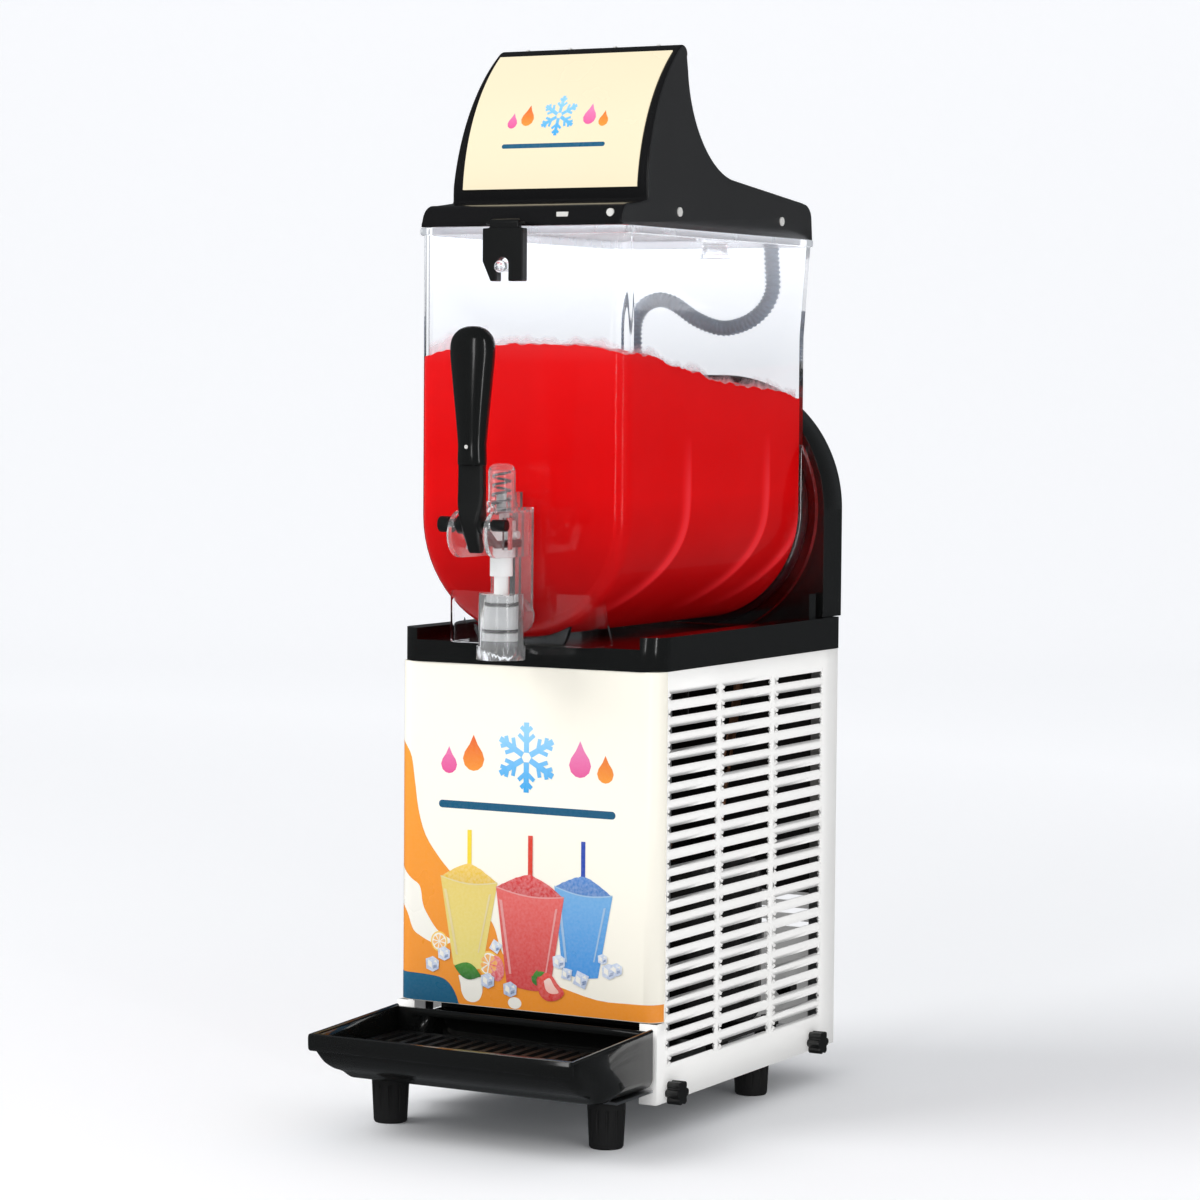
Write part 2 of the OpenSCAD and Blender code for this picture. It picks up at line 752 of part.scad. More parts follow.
// Lever: boss on the pin, flat arm up into the grip, and a fork back under the piston's lugs.
module tap_lever() {
    color(black) difference() {
        union() {
            rod_x(pin_y, pin_z, -11, 11, 9);
            span_x(-11, 11) polygon([[pin_y - 4, pin_z], [pin_y + 4, pin_z], [pin_y + 3, 560],
                                     [pin_y - 3, 560]]);
            span_x(-11, 11) polygon([[pin_y - 6, pin_z - 4], [pin_y + 8, pin_z - 4],
                                     [pin_y + 22, prong_top_z], [pin_y + 22, prong_top_z - 7],
                                     [pin_y + 12, prong_top_z - 9]]);
            for (x = [-12.5, 9.2]) box([x, pin_y + 14, prong_top_z - 6], [x + 3.3, tap_y + 6, prong_top_z]);
        }
        rod_x(pin_y, pin_z, -20, 20, pin_r + running);
        rod_y(0, 522, pin_y - 10, pin_y + 10, 2);
    }
}

// Bat-shaped grip over the lever's arm.
module lever_grip() {
    color(black) difference() {
        hull() {
            translate([0, pin_y, 600]) scale([1.45, 1, 1]) sphere(12.5, $fn = 32);
            translate([0, pin_y, 560]) scale([1.3, 1, 1]) sphere(11, $fn = 32);
            translate([0, pin_y, 522]) scale([1.3, 1, 1]) cylinder(h = 20, r = 8.6, center = true, $fn = 32);
        }
        box([-11.1, pin_y - 4.1, 500], [11.1, pin_y + 4.1, 560.2]);
    }
}

// Pivot pin with a round head on the left and a nut on the right.
module lever_pin() {
    color(black) {
        rod_x(pin_y, pin_z, -22, 24, pin_r);
        rod_x(pin_y, pin_z, -27, -18, 6);
        rod_x(pin_y, pin_z, 18, 30, 4.5);
    }
}

// ---- Lid ----

// Side outline of the lid, from the front lip over the sign and down the swept back.
module lid_outline() {
    polygon(concat(
        [[-116, rim_z], [-116, rim_z + 3]],
        arc([-115, rim_z + 5], [-100, rim_z + 17], 4, 6),
        [[-68, rim_z + 20], [-71, 720]],
        arc([-71, 724], [-9, lid_top_z - 1], 13, 14),
        arc([-6, lid_top_z], [2, lid_top_z - 10], 4, 6),
        arc([3, 812], [80, 731], -22, 14),
        [[202, 719]],
        arc([204, 718.5], [lid_back_y, 708], 3, 5),
        [[lid_back_y, rim_z]]));
}

module lid_shell() {
    pane_t = 3;
    color(black) difference() {
        intersection() {
            span_x(-lid_w / 2, lid_w / 2) lid_outline();
            lid_taper(0);
        }
        intersection() {
            span_x(-lid_w / 2, lid_w / 2) offset(delta = -lid_wall) lid_outline();
            lid_taper(lid_wall);
        }
        box([-lid_w / 2 + 4, -112, rim_z - 1], [lid_w / 2 - 4, lid_back_y - 4, rim_z + 4]);
        intersection() {
            box([-sign_w / 2, -90, 719], [sign_w / 2, 0, lid_top_z - 5]);
            span_x(-sign_w / 2, sign_w / 2) difference() {
                translate([-100, 600]) square([120, 300]);
                translate([pane_t + 0.5, -pane_t / 4]) lid_outline();
            }
        }
        rod_x(latch_y, latch_pin_z, -40, 40, 1.05);
    }
    color(black) difference() {
        for (x = [latch_x - 17, latch_x + 13]) {
            rod_x(latch_y, latch_pin_z, x, x + 4, 3);
            box([x, latch_y, rim_z], [x + 4, -115.9, latch_pin_z + 3]);
        }
        rod_x(latch_y, latch_pin_z, -40, 40, 1.05);
    }
}

// Trapezoid that narrows the lid from its rim to its top.
module lid_taper(inset) {
    w0 = lid_w / 2 - inset;
    w1 = lid_top_w / 2 - inset;
    span_y(-150, 240) polygon([[-w0, rim_z - 1], [w0, rim_z - 1], [w1, lid_top_z + 1],
                               [-w1, lid_top_z + 1]]);
}

// Translucent under-tray of the lid, with the lip that drops inside the bowl.
module lid_liner() {
    color([0.95, 0.97, 1, 0.6]) {
        translate([0, 0, rim_z]) linear_extrude(3)
            round_rect([-84, -111], [84, lid_back_y - 14], 10);
        translate([0, 0, rim_z - 6]) linear_extrude(6) difference() {
            round_rect([-84, bowl_front_y + bowl_wall + 0.8], [84, 197.5], 8);
            round_rect([-82, bowl_front_y + bowl_wall + 3], [82, 195.5], 6);
        }
    }
}

// Light bar that shines on the sign and down through the liner.
module lamp_strip() {
    color(white) {
        box([-70, -2, rim_z + 4], [70, 14, rim_z + 8]);
        for (i = [0:6]) box([-63 + 19 * i, 2, rim_z + 8], [-57 + 19 * i, 10, rim_z + 10]);
    }
}

// Curved translucent front of the sign box.
module sign_pane() {
    pane_t = 3;
    color([1, 0.96, 0.84]) intersection() {
        box([-sign_w / 2 + 0.2, -90, 719.2], [sign_w / 2 - 0.2, 0, lid_top_z - 5.2]);
        span_x(-sign_w / 2, sign_w / 2) difference() {
            lid_outline();
            translate([pane_t, -pane_t / 4]) lid_outline();
        }
    }
}

// Screws in the lid's sides and rivets along the top of the sign.
module lid_fasteners() {
    color(steel) {
        for (side = [-1, 1], y = [-22, 157]) {
            x = side * lid_w / 2;
            rod_x(y, 702, x - side * 0.8 - 1.2, x - side * 0.8 + 1.2, 3.6);
        }
        for (x = [-58, -20, 20, 58]) translate([x, -3, lid_top_z - 2]) cylinder(h = 2.8, r = 1.6);
        rod_y(77, 698, -115, -107, 3);
        box([31, -114.5, 693.5], [41, -108, 699]);
    }
}

// Fork-shaped latch that hangs from the lid and holds the bowl's nub.
module lid_latch() {
    w = 35;
    x0 = latch_x - w / 2;
    front = latch_y - 5;
    back = latch_y + 3;
    color(black) difference() {
        union() {
            span_y(front, back) polygon([[x0, 687], [x0, 662], [x0 + 7, 647], [x0 + w, 647],
                                         [x0 + w, 687]]);
            rod_x(latch_y, latch_pin_z, latch_x - 12.5, latch_x + 12.5, 3);
            box([latch_x - 12.5, latch_y - 3, 686], [latch_x + 12.5, latch_y + 3, latch_pin_z]);
        }
        box([latch_x - 5, -140, 640], [latch_x + 5, -110, 660]);
        rod_y(latch_x, 660, -140, -110, 5);
        rod_x(latch_y, latch_pin_z, -40, 40, 1.05);
    }
    color(steel) rod_x(latch_y, latch_pin_z, latch_x - 17, latch_x + 17, 1);
}

// Gland on the back of the lid, where the cable hose leaves it.
module hose_gland() {
    color(black) {
        translate([hose_x, hose_y, hose_top_z]) cylinder(h = 16, r = 7);
        box([hose_x - 7, lid_back_y, hose_top_z], [hose_x + 7, hose_y, hose_top_z + 16]);
    }
}

// Cable hose from the lid's gland to its plug, hanging in a loop behind the bowl.
module lid_hose() {
    color([0.35, 0.42, 0.5]) sweep(hose_route, 6, 10);
}

// Plug that stands on the tower's socket.
module hose_plug() {
    color(black) {
        box([plug_x - 12, 219, plug_z], [plug_x + 12, tower_back_y, plug_z + 20]);
        translate([plug_x, hose_y, plug_z + 20]) cylinder(h = 8, r = 6);
    }
}

// ---- Drip tray ----

// Side outline of the scoop.
module scoop_outline() {
    polygon([[tray_front_y, tray_lip_z], [tray_front_y, tray_lip_z - 13], [-172, base_z + base_t + 0.3],
             [-104, base_z + base_t + 0.3], [-104, 84]]);
}

module drip_tray() {
    wall = 2.5;
    floor_z = base_z + base_t + 0.3;
    color(black) {
        difference() {
            union() {
                span_x(-tray_w / 2, tray_w / 2) scoop_outline();
                box([-97, -106, floor_z], [97, tray_in_y, 78]);
            }
            span_x(-tray_w / 2 + wall, tray_w / 2 - wall)
                polygon([[tray_front_y + 5, tray_lip_z + 9], [tray_front_y + 5, tray_lip_z - 12],
                         [-171, floor_z + wall], [-104 - wall, floor_z + wall], [-104 - wall, 93]]);
            box([-97 + wall, -112, floor_z + wall], [97 - wall, tray_in_y - wall, 90]);
        }
        for (x = [-88, 82], y = [-166, -120]) box([x, y, floor_z + 1], [x + 6, y + 6, grid_z]);
    }
}

// Slotted grid on the tray's posts.
module drip_grid() {
    color(black) difference() {
        box([-108, -210, grid_z], [108, -110, grid_z + 3]);
        for (x = [-96:12:96], y = [-203, -156]) box([x - 3.5, y, 50], [x + 3.5, y + 40, 90]);
    }
}

base_plate();
feet();
frame();
front_panel();
side_panel_left();
side_panel_right();
rear_panel();
tray_recess();
deck();
tower();
tower_back_cover();
rear_screws();
knob_front_left();
knob_front_right();
knob_rear_left();
knob_rear_right();
drip_tray();
drip_grid();
evaporator_drum();
drum_flange();
bowl_gasket();
evaporator_coil();
shaft_seal();
gear_motor();
motor_bracket();
drive_shaft();
auger_spiral();
auger_hub();
compressor();
compressor_mounts();
condenser();
fan_shroud();
fan_motor();
fan();
filter_drier();
suction_pipe();
discharge_pipe();
control_box();
switch_bezels();
power_rocker();
light_rocker();
cable_gland();
bowl();
tap_body();
tap_cap();
tap_spring();
tap_piston();
piston_rings();
tap_lever();
lever_grip();
lever_pin();
lid_shell();
lid_liner();
sign_pane();
lamp_strip();
lid_fasteners();
lid_latch();
hose_gland();
lid_hose();
hose_plug();
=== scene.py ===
"""Looks of the slushie machine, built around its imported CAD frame. Shapes are given in millimetres."""

import json
from math import acos, asin, atan2, copysign, cos, dist, exp, pi, radians, sin, sqrt

import bmesh
import bpy
from mathutils import Matrix, Vector, noise


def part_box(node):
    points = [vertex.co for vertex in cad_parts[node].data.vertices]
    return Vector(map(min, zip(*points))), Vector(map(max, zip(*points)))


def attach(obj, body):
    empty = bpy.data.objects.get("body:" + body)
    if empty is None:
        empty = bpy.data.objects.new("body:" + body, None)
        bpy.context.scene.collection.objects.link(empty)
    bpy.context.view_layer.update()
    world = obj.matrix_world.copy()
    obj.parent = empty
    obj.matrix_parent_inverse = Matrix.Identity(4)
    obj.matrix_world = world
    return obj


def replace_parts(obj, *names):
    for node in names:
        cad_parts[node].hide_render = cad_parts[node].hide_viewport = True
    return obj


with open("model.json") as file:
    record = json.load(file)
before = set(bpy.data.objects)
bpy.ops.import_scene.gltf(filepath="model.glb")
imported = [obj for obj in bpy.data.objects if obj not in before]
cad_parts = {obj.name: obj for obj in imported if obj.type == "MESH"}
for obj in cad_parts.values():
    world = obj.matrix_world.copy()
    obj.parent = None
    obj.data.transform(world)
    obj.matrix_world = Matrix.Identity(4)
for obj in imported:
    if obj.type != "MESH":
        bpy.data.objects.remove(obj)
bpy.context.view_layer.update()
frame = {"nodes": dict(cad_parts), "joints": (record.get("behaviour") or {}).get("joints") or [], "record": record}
MM = 0.001
JOINTS = {j["name"]: j for j in frame["joints"]}


def corners(node_name):
    """Lowest and highest corner of a CAD node in millimetres."""
    low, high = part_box(node_name)
    return low / MM, high / MM


# ---- camera, stage and lights

CAMERA_AT = Vector((1398, -2546, 573)) * MM
CAMERA_YAW = radians(29.05)
CAMERA_DOWN = radians(3.66)
CAMERA_ROLL = radians(0.42)
CAMERA_LENS = 110.8
CAMERA_SHIFT = (0.023, 0.0135)


def added(name, data):
    """New object of the scene that shows this data."""
    made = bpy.data.objects.new(name, data)
    bpy.context.scene.collection.objects.link(made)
    return made


def add_camera():
    data = bpy.data.cameras.new("camera")
    data.lens = CAMERA_LENS
    data.shift_x, data.shift_y = CAMERA_SHIFT
    camera = added("camera", data)
    camera.matrix_world = Matrix.Translation(CAMERA_AT)
    for turn, axis in ((CAMERA_YAW, "Z"), (pi / 2 - CAMERA_DOWN, "X"), (CAMERA_ROLL, "Z")):
        camera.matrix_world = camera.matrix_world @ Matrix.Rotation(turn, 4, axis)
    bpy.context.scene.camera = camera


def add_light(name, place, target, size, watts, mirrored=True):
    """Rectangular area light of a size in metres that shines from place to target."""
    data = bpy.data.lights.new(name, "AREA")
    data.shape = "RECTANGLE"
    data.size, data.size_y = size
    data.energy = watts
    lamp = added(name, data)
    lamp.visible_glossy = mirrored
    lamp.location = place
    lamp.rotation_mode = "QUATERNION"
    lamp.rotation_quaternion = (Vector(target) - Vector(place)).to_track_quat("-Z", "Y")


def add_world():
    """Pale surroundings that glossy surfaces see as dim, so that black plastic stays black. The camera
    sees them as bright as the floor."""
    world = bpy.data.worlds.new("studio")
    world.use_nodes = True
    bpy.context.scene.world = world
    tree = world.node_tree
    path = tree.nodes.new("ShaderNodeLightPath")
    seen = None
    for ray, colour, strength in ((None, (0.965, 0.975, 1.0, 1), 0.64),
                                  ("Is Glossy Ray", (0.9, 0.95, 1.0, 1), 0.07),
                                  ("Is Camera Ray", (0.985, 0.99, 1.0, 1), 0.93)):
        background = tree.nodes.new("ShaderNodeBackground") if ray else tree.nodes["Background"]
        background.inputs["Color"].default_value = colour
        background.inputs["Strength"].default_value = strength
        light = background.outputs["Background"]
        if ray:
            mix = tree.nodes.new("ShaderNodeMixShader")
            for i, output in enumerate((path.outputs[ray], seen, light)):
                tree.links.new(output, mix.inputs[i])
            light = mix.outputs["Shader"]
        seen = light
    tree.links.new(seen, tree.nodes["World Output"].inputs["Surface"])


def add_floor():
    """Pale floor that turns up into a backdrop far behind the machine, darkest where the machine stands."""
    reach, width, radius, height, steps = 7.0, 9.0, 2.5, 6.0, 16
    profile = [(-reach, 0.0)]
    for turn in quarter(steps):
        profile.append((reach - radius + radius * sin(turn), radius * (1 - cos(turn))))
    profile.append((reach, height))
    mesh = bpy.data.meshes.new("floor")
    mesh.from_pydata([(x, y, z) for y, z in profile for x in (-width, width)], [],
                     [(2 * i, 2 * i + 1, 2 * i + 3, 2 * i + 2) for i in range(len(profile) - 1)])
    mesh.shade_smooth()
    floor = added("floor", mesh)
    floor.rotation_euler[2] = CAMERA_YAW
    paint = Shader("floor_paint", (0.93, 0.935, 0.945), 0.85, Emission_Color=(0.97, 0.98, 1.0, 1))
    distance = paint.node("VectorMath", "Value", operation="LENGTH", Vector=paint.place)
    away = paint.total(distance, paint.spread(paint.axis("X"), -0.6, 0.6, -1.0, 1.0))
    paint.put("Emission Strength", paint.spread(away, 0.01, 0.25, 0.2, 3.2))
    mesh.materials.append(paint.material)
    floor.visible_glossy = False


# ---- materials

class Shader:
    """A Principled material with short calls for its texture nodes. All textures are in object space."""

    def __init__(self, name, colour, roughness, **sockets):
        self.material = bpy.data.materials.new(name)
        self.material.use_nodes = True
        self.tree = self.material.node_tree
        self.main = self.tree.nodes["Principled BSDF"]
        self.place = self.node("TexCoord", "Object")
        self.last_normal = None
        for socket, value in dict(sockets, Base_Color=(*colour, 1), Roughness=roughness).items():
            self.put(socket.replace("_", " "), value)

    def fill(self, socket, value):
        """Sets a socket to a value, or links it to another node's output."""
        if isinstance(value, bpy.types.NodeSocket):
            self.tree.links.new(value, socket)
        else:
            socket.default_value = value

    def put(self, socket, value):
        self.fill(self.main.inputs[socket], value)

    def node(self, kind, output, **values):
        """Output of a new node. Names that start with a capital are its sockets, the others its settings."""
        made = self.tree.nodes.new("ShaderNode" + kind)
        for name, value in values.items():
            if name.islower():
                setattr(made, name, value)
            else:
                self.fill(made.inputs[name.replace("_", " ")], value)
        return made.outputs[output]

    def noise(self, per_metre, detail=3, stretch=(1, 1, 1)):
        """Noise value from 0 to 1, finer along an axis whose stretch is large."""
        placed = self.node("Mapping", "Vector", Vector=self.place, Scale=stretch)
        return self.node("TexNoise", "Fac", Vector=placed, Scale=per_metre, Detail=detail)

    def cells(self, per_metre):
        return self.node("TexVoronoi", "Distance", Vector=self.place, Scale=per_metre)

    def spread(self, value, low, high, low_at=0.3, high_at=0.7):
        """Maps a value between two places to a range."""
        return self.node("MapRange", "Result", Value=value, From_Min=low_at, From_Max=high_at,
                         To_Min=low, To_Max=high)

    def total(self, first, second):
        added_up = self.tree.nodes.new("ShaderNodeMath")
        for socket, value in zip(added_up.inputs, (first, second)):
            self.fill(socket, value)
        return added_up.outputs["Value"]

    def between(self, factor, first, second):
        """Colour that runs from first to second; either may be a colour or another node's output."""
        mix = self.tree.nodes.new("ShaderNodeMix")
        mix.data_type = "RGBA"
        for i, value in ((0, factor), (6, first), (7, second)):
            self.fill(mix.inputs[i], (*value, 1) if isinstance(value, tuple) else value)
        return mix.outputs[2]

    def axis(self, letter):
        """Height or another coordinate of the point, in metres."""
        return self.node("SeparateXYZ", letter, Vector=self.place)

    def sideways(self):
        """0 on faces that look forwards or up, 1 on faces that look along X."""
        normal = self.node("NewGeometry", "Normal")
        return self.node("Math", "Value", operation="ABSOLUTE",
                         Value=self.node("SeparateXYZ", "X", Vector=normal))

    def attribute(self, name):
        return self.node("Attribute", "Fac", attribute_name=name)

    def worn(self, per_metre, detail, low, high):
        """Roughness in patches."""
        self.put("Roughness", self.spread(self.noise(per_metre, detail), low, high))

    def bump(self, value, depth_mm, strength=1.0):
        """Bump on top of the bumps already put on the material."""
        before = {} if self.last_normal is None else {"Normal": self.last_normal}
        self.last_normal = self.node("Bump", "Normal", Strength=strength, Distance=depth_mm * MM,
                                     Height=value, **before)
        self.put("Normal", self.last_normal)


def scaled(colour, factor):
    return tuple(min(1.0, c * factor) for c in colour)


def moulded(name, colour, roughness, grain=900, depth=0.05, vary=0.06, tint=0.12, **sockets):
    """Plastic or rubber with a fine moulded grain, patches of handling wear and slight tint changes."""
    s = Shader(name, colour, roughness, **sockets)
    patches = s.noise(14, 4)
    s.put("Roughness", s.spread(patches, roughness - vary, roughness + vary))
    s.put("Base Color", s.between(patches, scaled(colour, 1 - tint), scaled(colour, 1 + tint)))
    s.bump(s.noise(grain, 2), depth, 0.5)
    return s.material


def painted(name, colour, roughness, **sockets):
    """Powder coat with its orange peel and a little dulling in patches."""
    s = Shader(name, colour, roughness, **sockets)
    patches = s.noise(9, 5)
    s.put("Roughness", s.spread(patches, roughness - 0.05, roughness + 0.08))
    s.put("Base Color", s.between(patches, scaled(colour, 0.975), scaled(colour, 1.01)))
    s.bump(s.noise(700, 2), 0.04, 0.35)
    return s.material


def metal(name, colour, roughness, stretch, lines=300, depth=0.01, tint=0.1, metallic=1.0):
    """Metal with brushing or drawing lines along the axis whose stretch is small."""
    s = Shader(name, colour, roughness, Metallic=metallic)
    brushed = s.noise(lines, 4, stretch)
    patches = s.noise(18, 4)
    s.put("Roughness", s.spread(brushed, roughness - 0.08, roughness + 0.1))
    s.put("Base Color", s.between(patches, scaled(colour, 1 - tint), scaled(colour, 1 + tint)))
    s.bump(brushed, depth, 0.4)
    return s.material


def clear_plastic(name="clear_plastic", ior=1.33):
    """Clear plastic with a painted glow towards its top, in place of the lamp's light under the lid."""
    s = Shader(name, (0.985, 0.99, 1.0), 0.03, IOR=ior, Transmission_Weight=1.0,
               Emission_Color=(0.90, 0.94, 1.0, 1))
    # painted glow: emission that rises with height, in place of the lamp's light
    s.put("Emission Strength", s.spread(s.axis("Z"), 0, 0.09, 0.585, 0.68))
    s.worn(11, 5, 0.01, 0.06)
    return s.material


def tap_plastic():
    """Thick clear plastic of the tap, with a faint painted glow for its bright reflections, and worn patches."""
    # painted glow: a faint emission stands in for the tap's white reflections
    s = Shader("tap_clear", (0.98, 0.99, 1.0), 0.03, IOR=1.45, Emission_Strength=0.012)
    s.put("Transmission Weight", s.spread(s.noise(60, 4), 0.99, 0.91))
    s.worn(25, 4, 0.005, 0.07)
    return s.material


def translucent_plastic():
    s = Shader("diffuser", (0.95, 0.97, 1.0), 0.3, IOR=1.45, Transmission_Weight=0.85)
    s.worn(30, 3, 0.2, 0.42)
    s.bump(s.cells(260), 0.1, 0.3)
    return s.material


def lit_sign():
    """Printed acrylic with light behind it, and a faint unevenness."""
    cream = (1.0, 0.88, 0.62)
    s = Shader("sign_acrylic", scaled(cream, 0.22), 0.3, Emission_Strength=0.78)
    glow = s.between(s.spread(s.noise(7, 2), 0, 1), scaled(cream, 0.985), (1.0, 0.89, 0.64))
    s.put("Emission Color", glow)
    s.worn(15, 4, 0.18, 0.3)
    return s.material


def lamp_plastic():
    s = Shader("lamp_white", (0.9, 0.9, 0.9), 0.4, Emission_Strength=1.2, Emission_Color=(0.95, 0.97, 1.0, 1))
    s.worn(60, 2, 0.35, 0.5)
    return s.material


def hose_plastic():
    s = Shader("hose_grey", (0.10, 0.13, 0.18), 0.42)
    patches = s.noise(40, 4)
    s.put("Base Color", s.between(patches, (0.07, 0.10, 0.16), (0.17, 0.23, 0.33)))
    s.put("Roughness", s.spread(patches, 0.35, 0.55))
    s.bump(s.noise(1200, 2), 0.04, 0.5)
    return s.material


def slush_ice():
    """Wet red ice: painted glow, painted light near its top and on scraper lines, painted shade low in the bowl.
    """
    deep, body, pale = (0.24, 0.001, 0.002), (0.72, 0.001, 0.002), (0.78, 0.008, 0.010)
    # painted glow: emission in the ice's own colour lifts its shading all over
    s = Shader("slush", body, 0.4, Emission_Strength=0.40, Specular_IOR_Level=0.06)
    height = s.axis("Z")
    # painted shade low in the bowl (deep) and painted light near its top (pale), by height
    colour = s.between(s.spread(height, 0, 1, 0.376, 0.485), deep, body)
    colour = s.between(s.spread(height, 0, 1, 0.52, 0.60), colour, pale)
    colour = s.between(s.spread(s.noise(16, 4), 0, 0.10), colour, (0.88, 0.025, 0.03))
    # painted highlight: a lighter red along the scraper's lines
    colour = s.between(s.attribute("scrape_and_highlight"), colour, (0.98, 0.035, 0.045))
    s.put("Base Color", colour)
    s.put("Emission Color", colour)
    s.worn(120, 4, 0.3, 0.5)
    s.bump(s.noise(70, 4), 0.5, 0.25)
    s.bump(s.noise(520, 4), 0.16, 0.25)
    return s.material


def lid_black():
    """Moulded lid plastic: gloss on its front and top, satin on its cheeks."""
    s = Shader("lid_black", (0.012, 0.012, 0.013), 0.3)
    side = s.spread(s.sideways(), 0, 1, 0.55, 0.95)
    patches = s.noise(13, 4)
    satin = s.between(patches, (0.026, 0.0265, 0.0275), (0.034, 0.035, 0.036))
    s.put("Base Color", s.between(side, (0.0075, 0.0075, 0.008), satin))
    s.put("Roughness", s.spread(side, 0.2, 0.48, 0.0, 1.0))
    s.bump(s.noise(1300, 2), 0.04, 0.4)
    return s.material


def frost_film():
    """Pink frost, whose film thins out to nothing."""
    # painted glow: a faint white emission lightens the frost
    s = Shader("frost", (1.0, 0.5, 0.55), 0.6, Emission_Strength=0.12)
    s.put("Alpha", s.spread(s.attribute("film"), 0.0, 0.9, 0.0, 0.8))
    s.put("Base Color", s.between(s.noise(90, 5), (1.0, 0.30, 0.36), (1.0, 0.66, 0.70)))
    s.bump(s.noise(500, 4), 0.2, 0.4)
    return s.material


def ink(name, low, high, bottom, top, speckle=0.06):
    """Printed ink whose colour runs from low to high between two heights, under gloss lacquer."""
    s = Shader(name, high, 0.3, Coat_Weight=0.35)
    run = s.between(s.spread(s.axis("Z"), 0, 1, bottom * MM, top * MM), low, high)
    s.put("Base Color", s.between(s.spread(s.noise(420, 3), 0, speckle), run, (1.0, 1.0, 1.0)))
    s.worn(12, 4, 0.24, 0.36)
    return s.material


METALS = {
    "galvanised": ((0.60, 0.61, 0.63), 0.36, (1, 1, 30), 40, 0.006),
    "nickel": ((0.92, 0.90, 0.86), 0.42, (1, 1, 1), 800, 0.004, 0.1, 0.35),
    "stainless": ((0.62, 0.63, 0.64), 0.28, (40, 1, 40), 30, 0.006),
    "spring_steel": ((0.10, 0.10, 0.11), 0.34, (1, 1, 1), 300, 0.004, 0.1, 0.7),
    "copper": ((0.68, 0.33, 0.19), 0.3, (1, 1, 1), 60, 0.006, 0.3),
}
PLASTICS = {
    "rubber": ((0.012, 0.012, 0.012), 0.55, 1400, 0.06),
    "black_satin": ((0.0085, 0.009, 0.009), 0.36, 1100, 0.06),
    "black_enamel": ((0.008, 0.008, 0.008), 0.22, 200, 0.04),
    "white_plastic": ((0.86, 0.86, 0.85), 0.34, 500, 0.04, 0.05, 0.02),
    "rocker_red": ((0.50, 0.008, 0.006), 0.25, 600, 0.02, 0.05, 0.08),
}
INKS = {  # the other print slots take inks made for their piece
    "orange": ((0.90, 0.30, 0.022), (0.93, 0.34, 0.03), 88, 294, 0.02),
    "teal": ((0.004, 0.10, 0.20), (0.005, 0.125, 0.24), 88, 110, 0.02),
    "green": ((0.01, 0.12, 0.02), (0.08, 0.34, 0.03), 105, 125, 0.05),
    "white": ((0.92, 0.895, 0.81), (0.93, 0.905, 0.82), 88, 300, 0.02),
}
MATERIALS = {
    **{name: metal(name, *facts) for name, facts in METALS.items()},
    **{name: moulded(name, *facts) for name, facts in PLASTICS.items()},
    **{"print_" + name: ink("print_" + name, *facts) for name, facts in INKS.items()},
    "black_gloss": moulded("black_gloss", (0.0065, 0.0070, 0.0068), 0.16, 260, 0.05, 0.05,
                           Coat_Weight=0.3, Coat_Roughness=0.06),
    # painted light: a faint emission lightens the shadow that the deck and tap cast on the cream panel
    "cream_panel": painted("cream_panel", (0.95, 0.91, 0.79), 0.42, Emission_Strength=0.03,
                           Coat_Weight=0.4, Coat_Roughness=0.08),
    # painted light: emission brightens the white side panels
    "white_sheet": painted("white_sheet", (0.90, 0.89, 0.86), 0.38, Emission_Strength=0.15),
    "lid_black": lid_black(),
    "clear_plastic": clear_plastic(),
    "clear_skirt": clear_plastic("clear_skirt", 1.12),
    "tap_clear": tap_plastic(),
    "diffuser": translucent_plastic(),
    "sign_acrylic": lit_sign(),
    "lamp_white": lamp_plastic(),
    "hose_grey": hose_plastic(),
    "slush": slush_ice(),
    "frost": frost_film(),
}


# ---- mesh helpers

def riding(name, mesh, body, material):
    """Object of this mesh and material that rides on a body."""
    mesh.materials.append(material)
    made = added(name, mesh)
    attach(made, body)
    return made


def marked(name, points, faces, body, slot, mark, values):
    """Smooth mesh piece in millimetres that rides on a body, with a value at each point for its material."""
    mesh = bpy.data.meshes.new(name)
    mesh.from_pydata([Vector(p) * MM for p in points], [], faces)
    mesh.attributes.new(mark, "FLOAT", "POINT").data.foreach_set("value", values)
    mesh.shade_smooth()
    return riding(name, mesh, body, MATERIALS[slot])


def piece(name, points, faces, body, slot, sharp=35, finish=None, turned=False):
    """Mesh piece in millimetres that rides on a body, with its sharp edges kept.

    Its normals are turned outwards, unless they are turned already."""
    mesh = bpy.data.meshes.new(name)
    mesh.from_pydata([Vector(p) * MM for p in points], [], faces)
    bm = bmesh.new()
    bm.from_mesh(mesh)
    bmesh.ops.remove_doubles(bm, verts=bm.verts, dist=1e-6)
    bmesh.ops.dissolve_degenerate(bm, edges=bm.edges, dist=1e-7)
    if not turned:
        bmesh.ops.recalc_face_normals(bm, faces=bm.faces)
    bm.to_mesh(mesh)
    bm.free()
    mesh.shade_smooth()
    mesh.set_sharp_from_angle(angle=radians(sharp))
    return riding(name, mesh, body, finish or MATERIALS[slot])


def walled(made, millimetres, offset=-1):
    """Gives an open skin or a closed form a wall of this thickness."""
    wall = made.modifiers.new("wall", "SOLIDIFY")
    wall.thickness = millimetres * MM
    wall.offset = offset
    return made


def bevelled(made, width, segments=3, angle=30):
    """Rounds a piece's edges by width in millimetres."""
    mod = made.modifiers.new("round_edges", "BEVEL")
    mod.width = width * MM
    mod.segments = segments
    mod.limit_method = "ANGLE"
    mod.angle_limit = radians(angle)
    mod.harden_normals = True
    return made


def quarter(steps):
    """Turns from 0 to 90 degrees in equal steps."""
    return [pi / 2 * i / steps for i in range(steps + 1)]


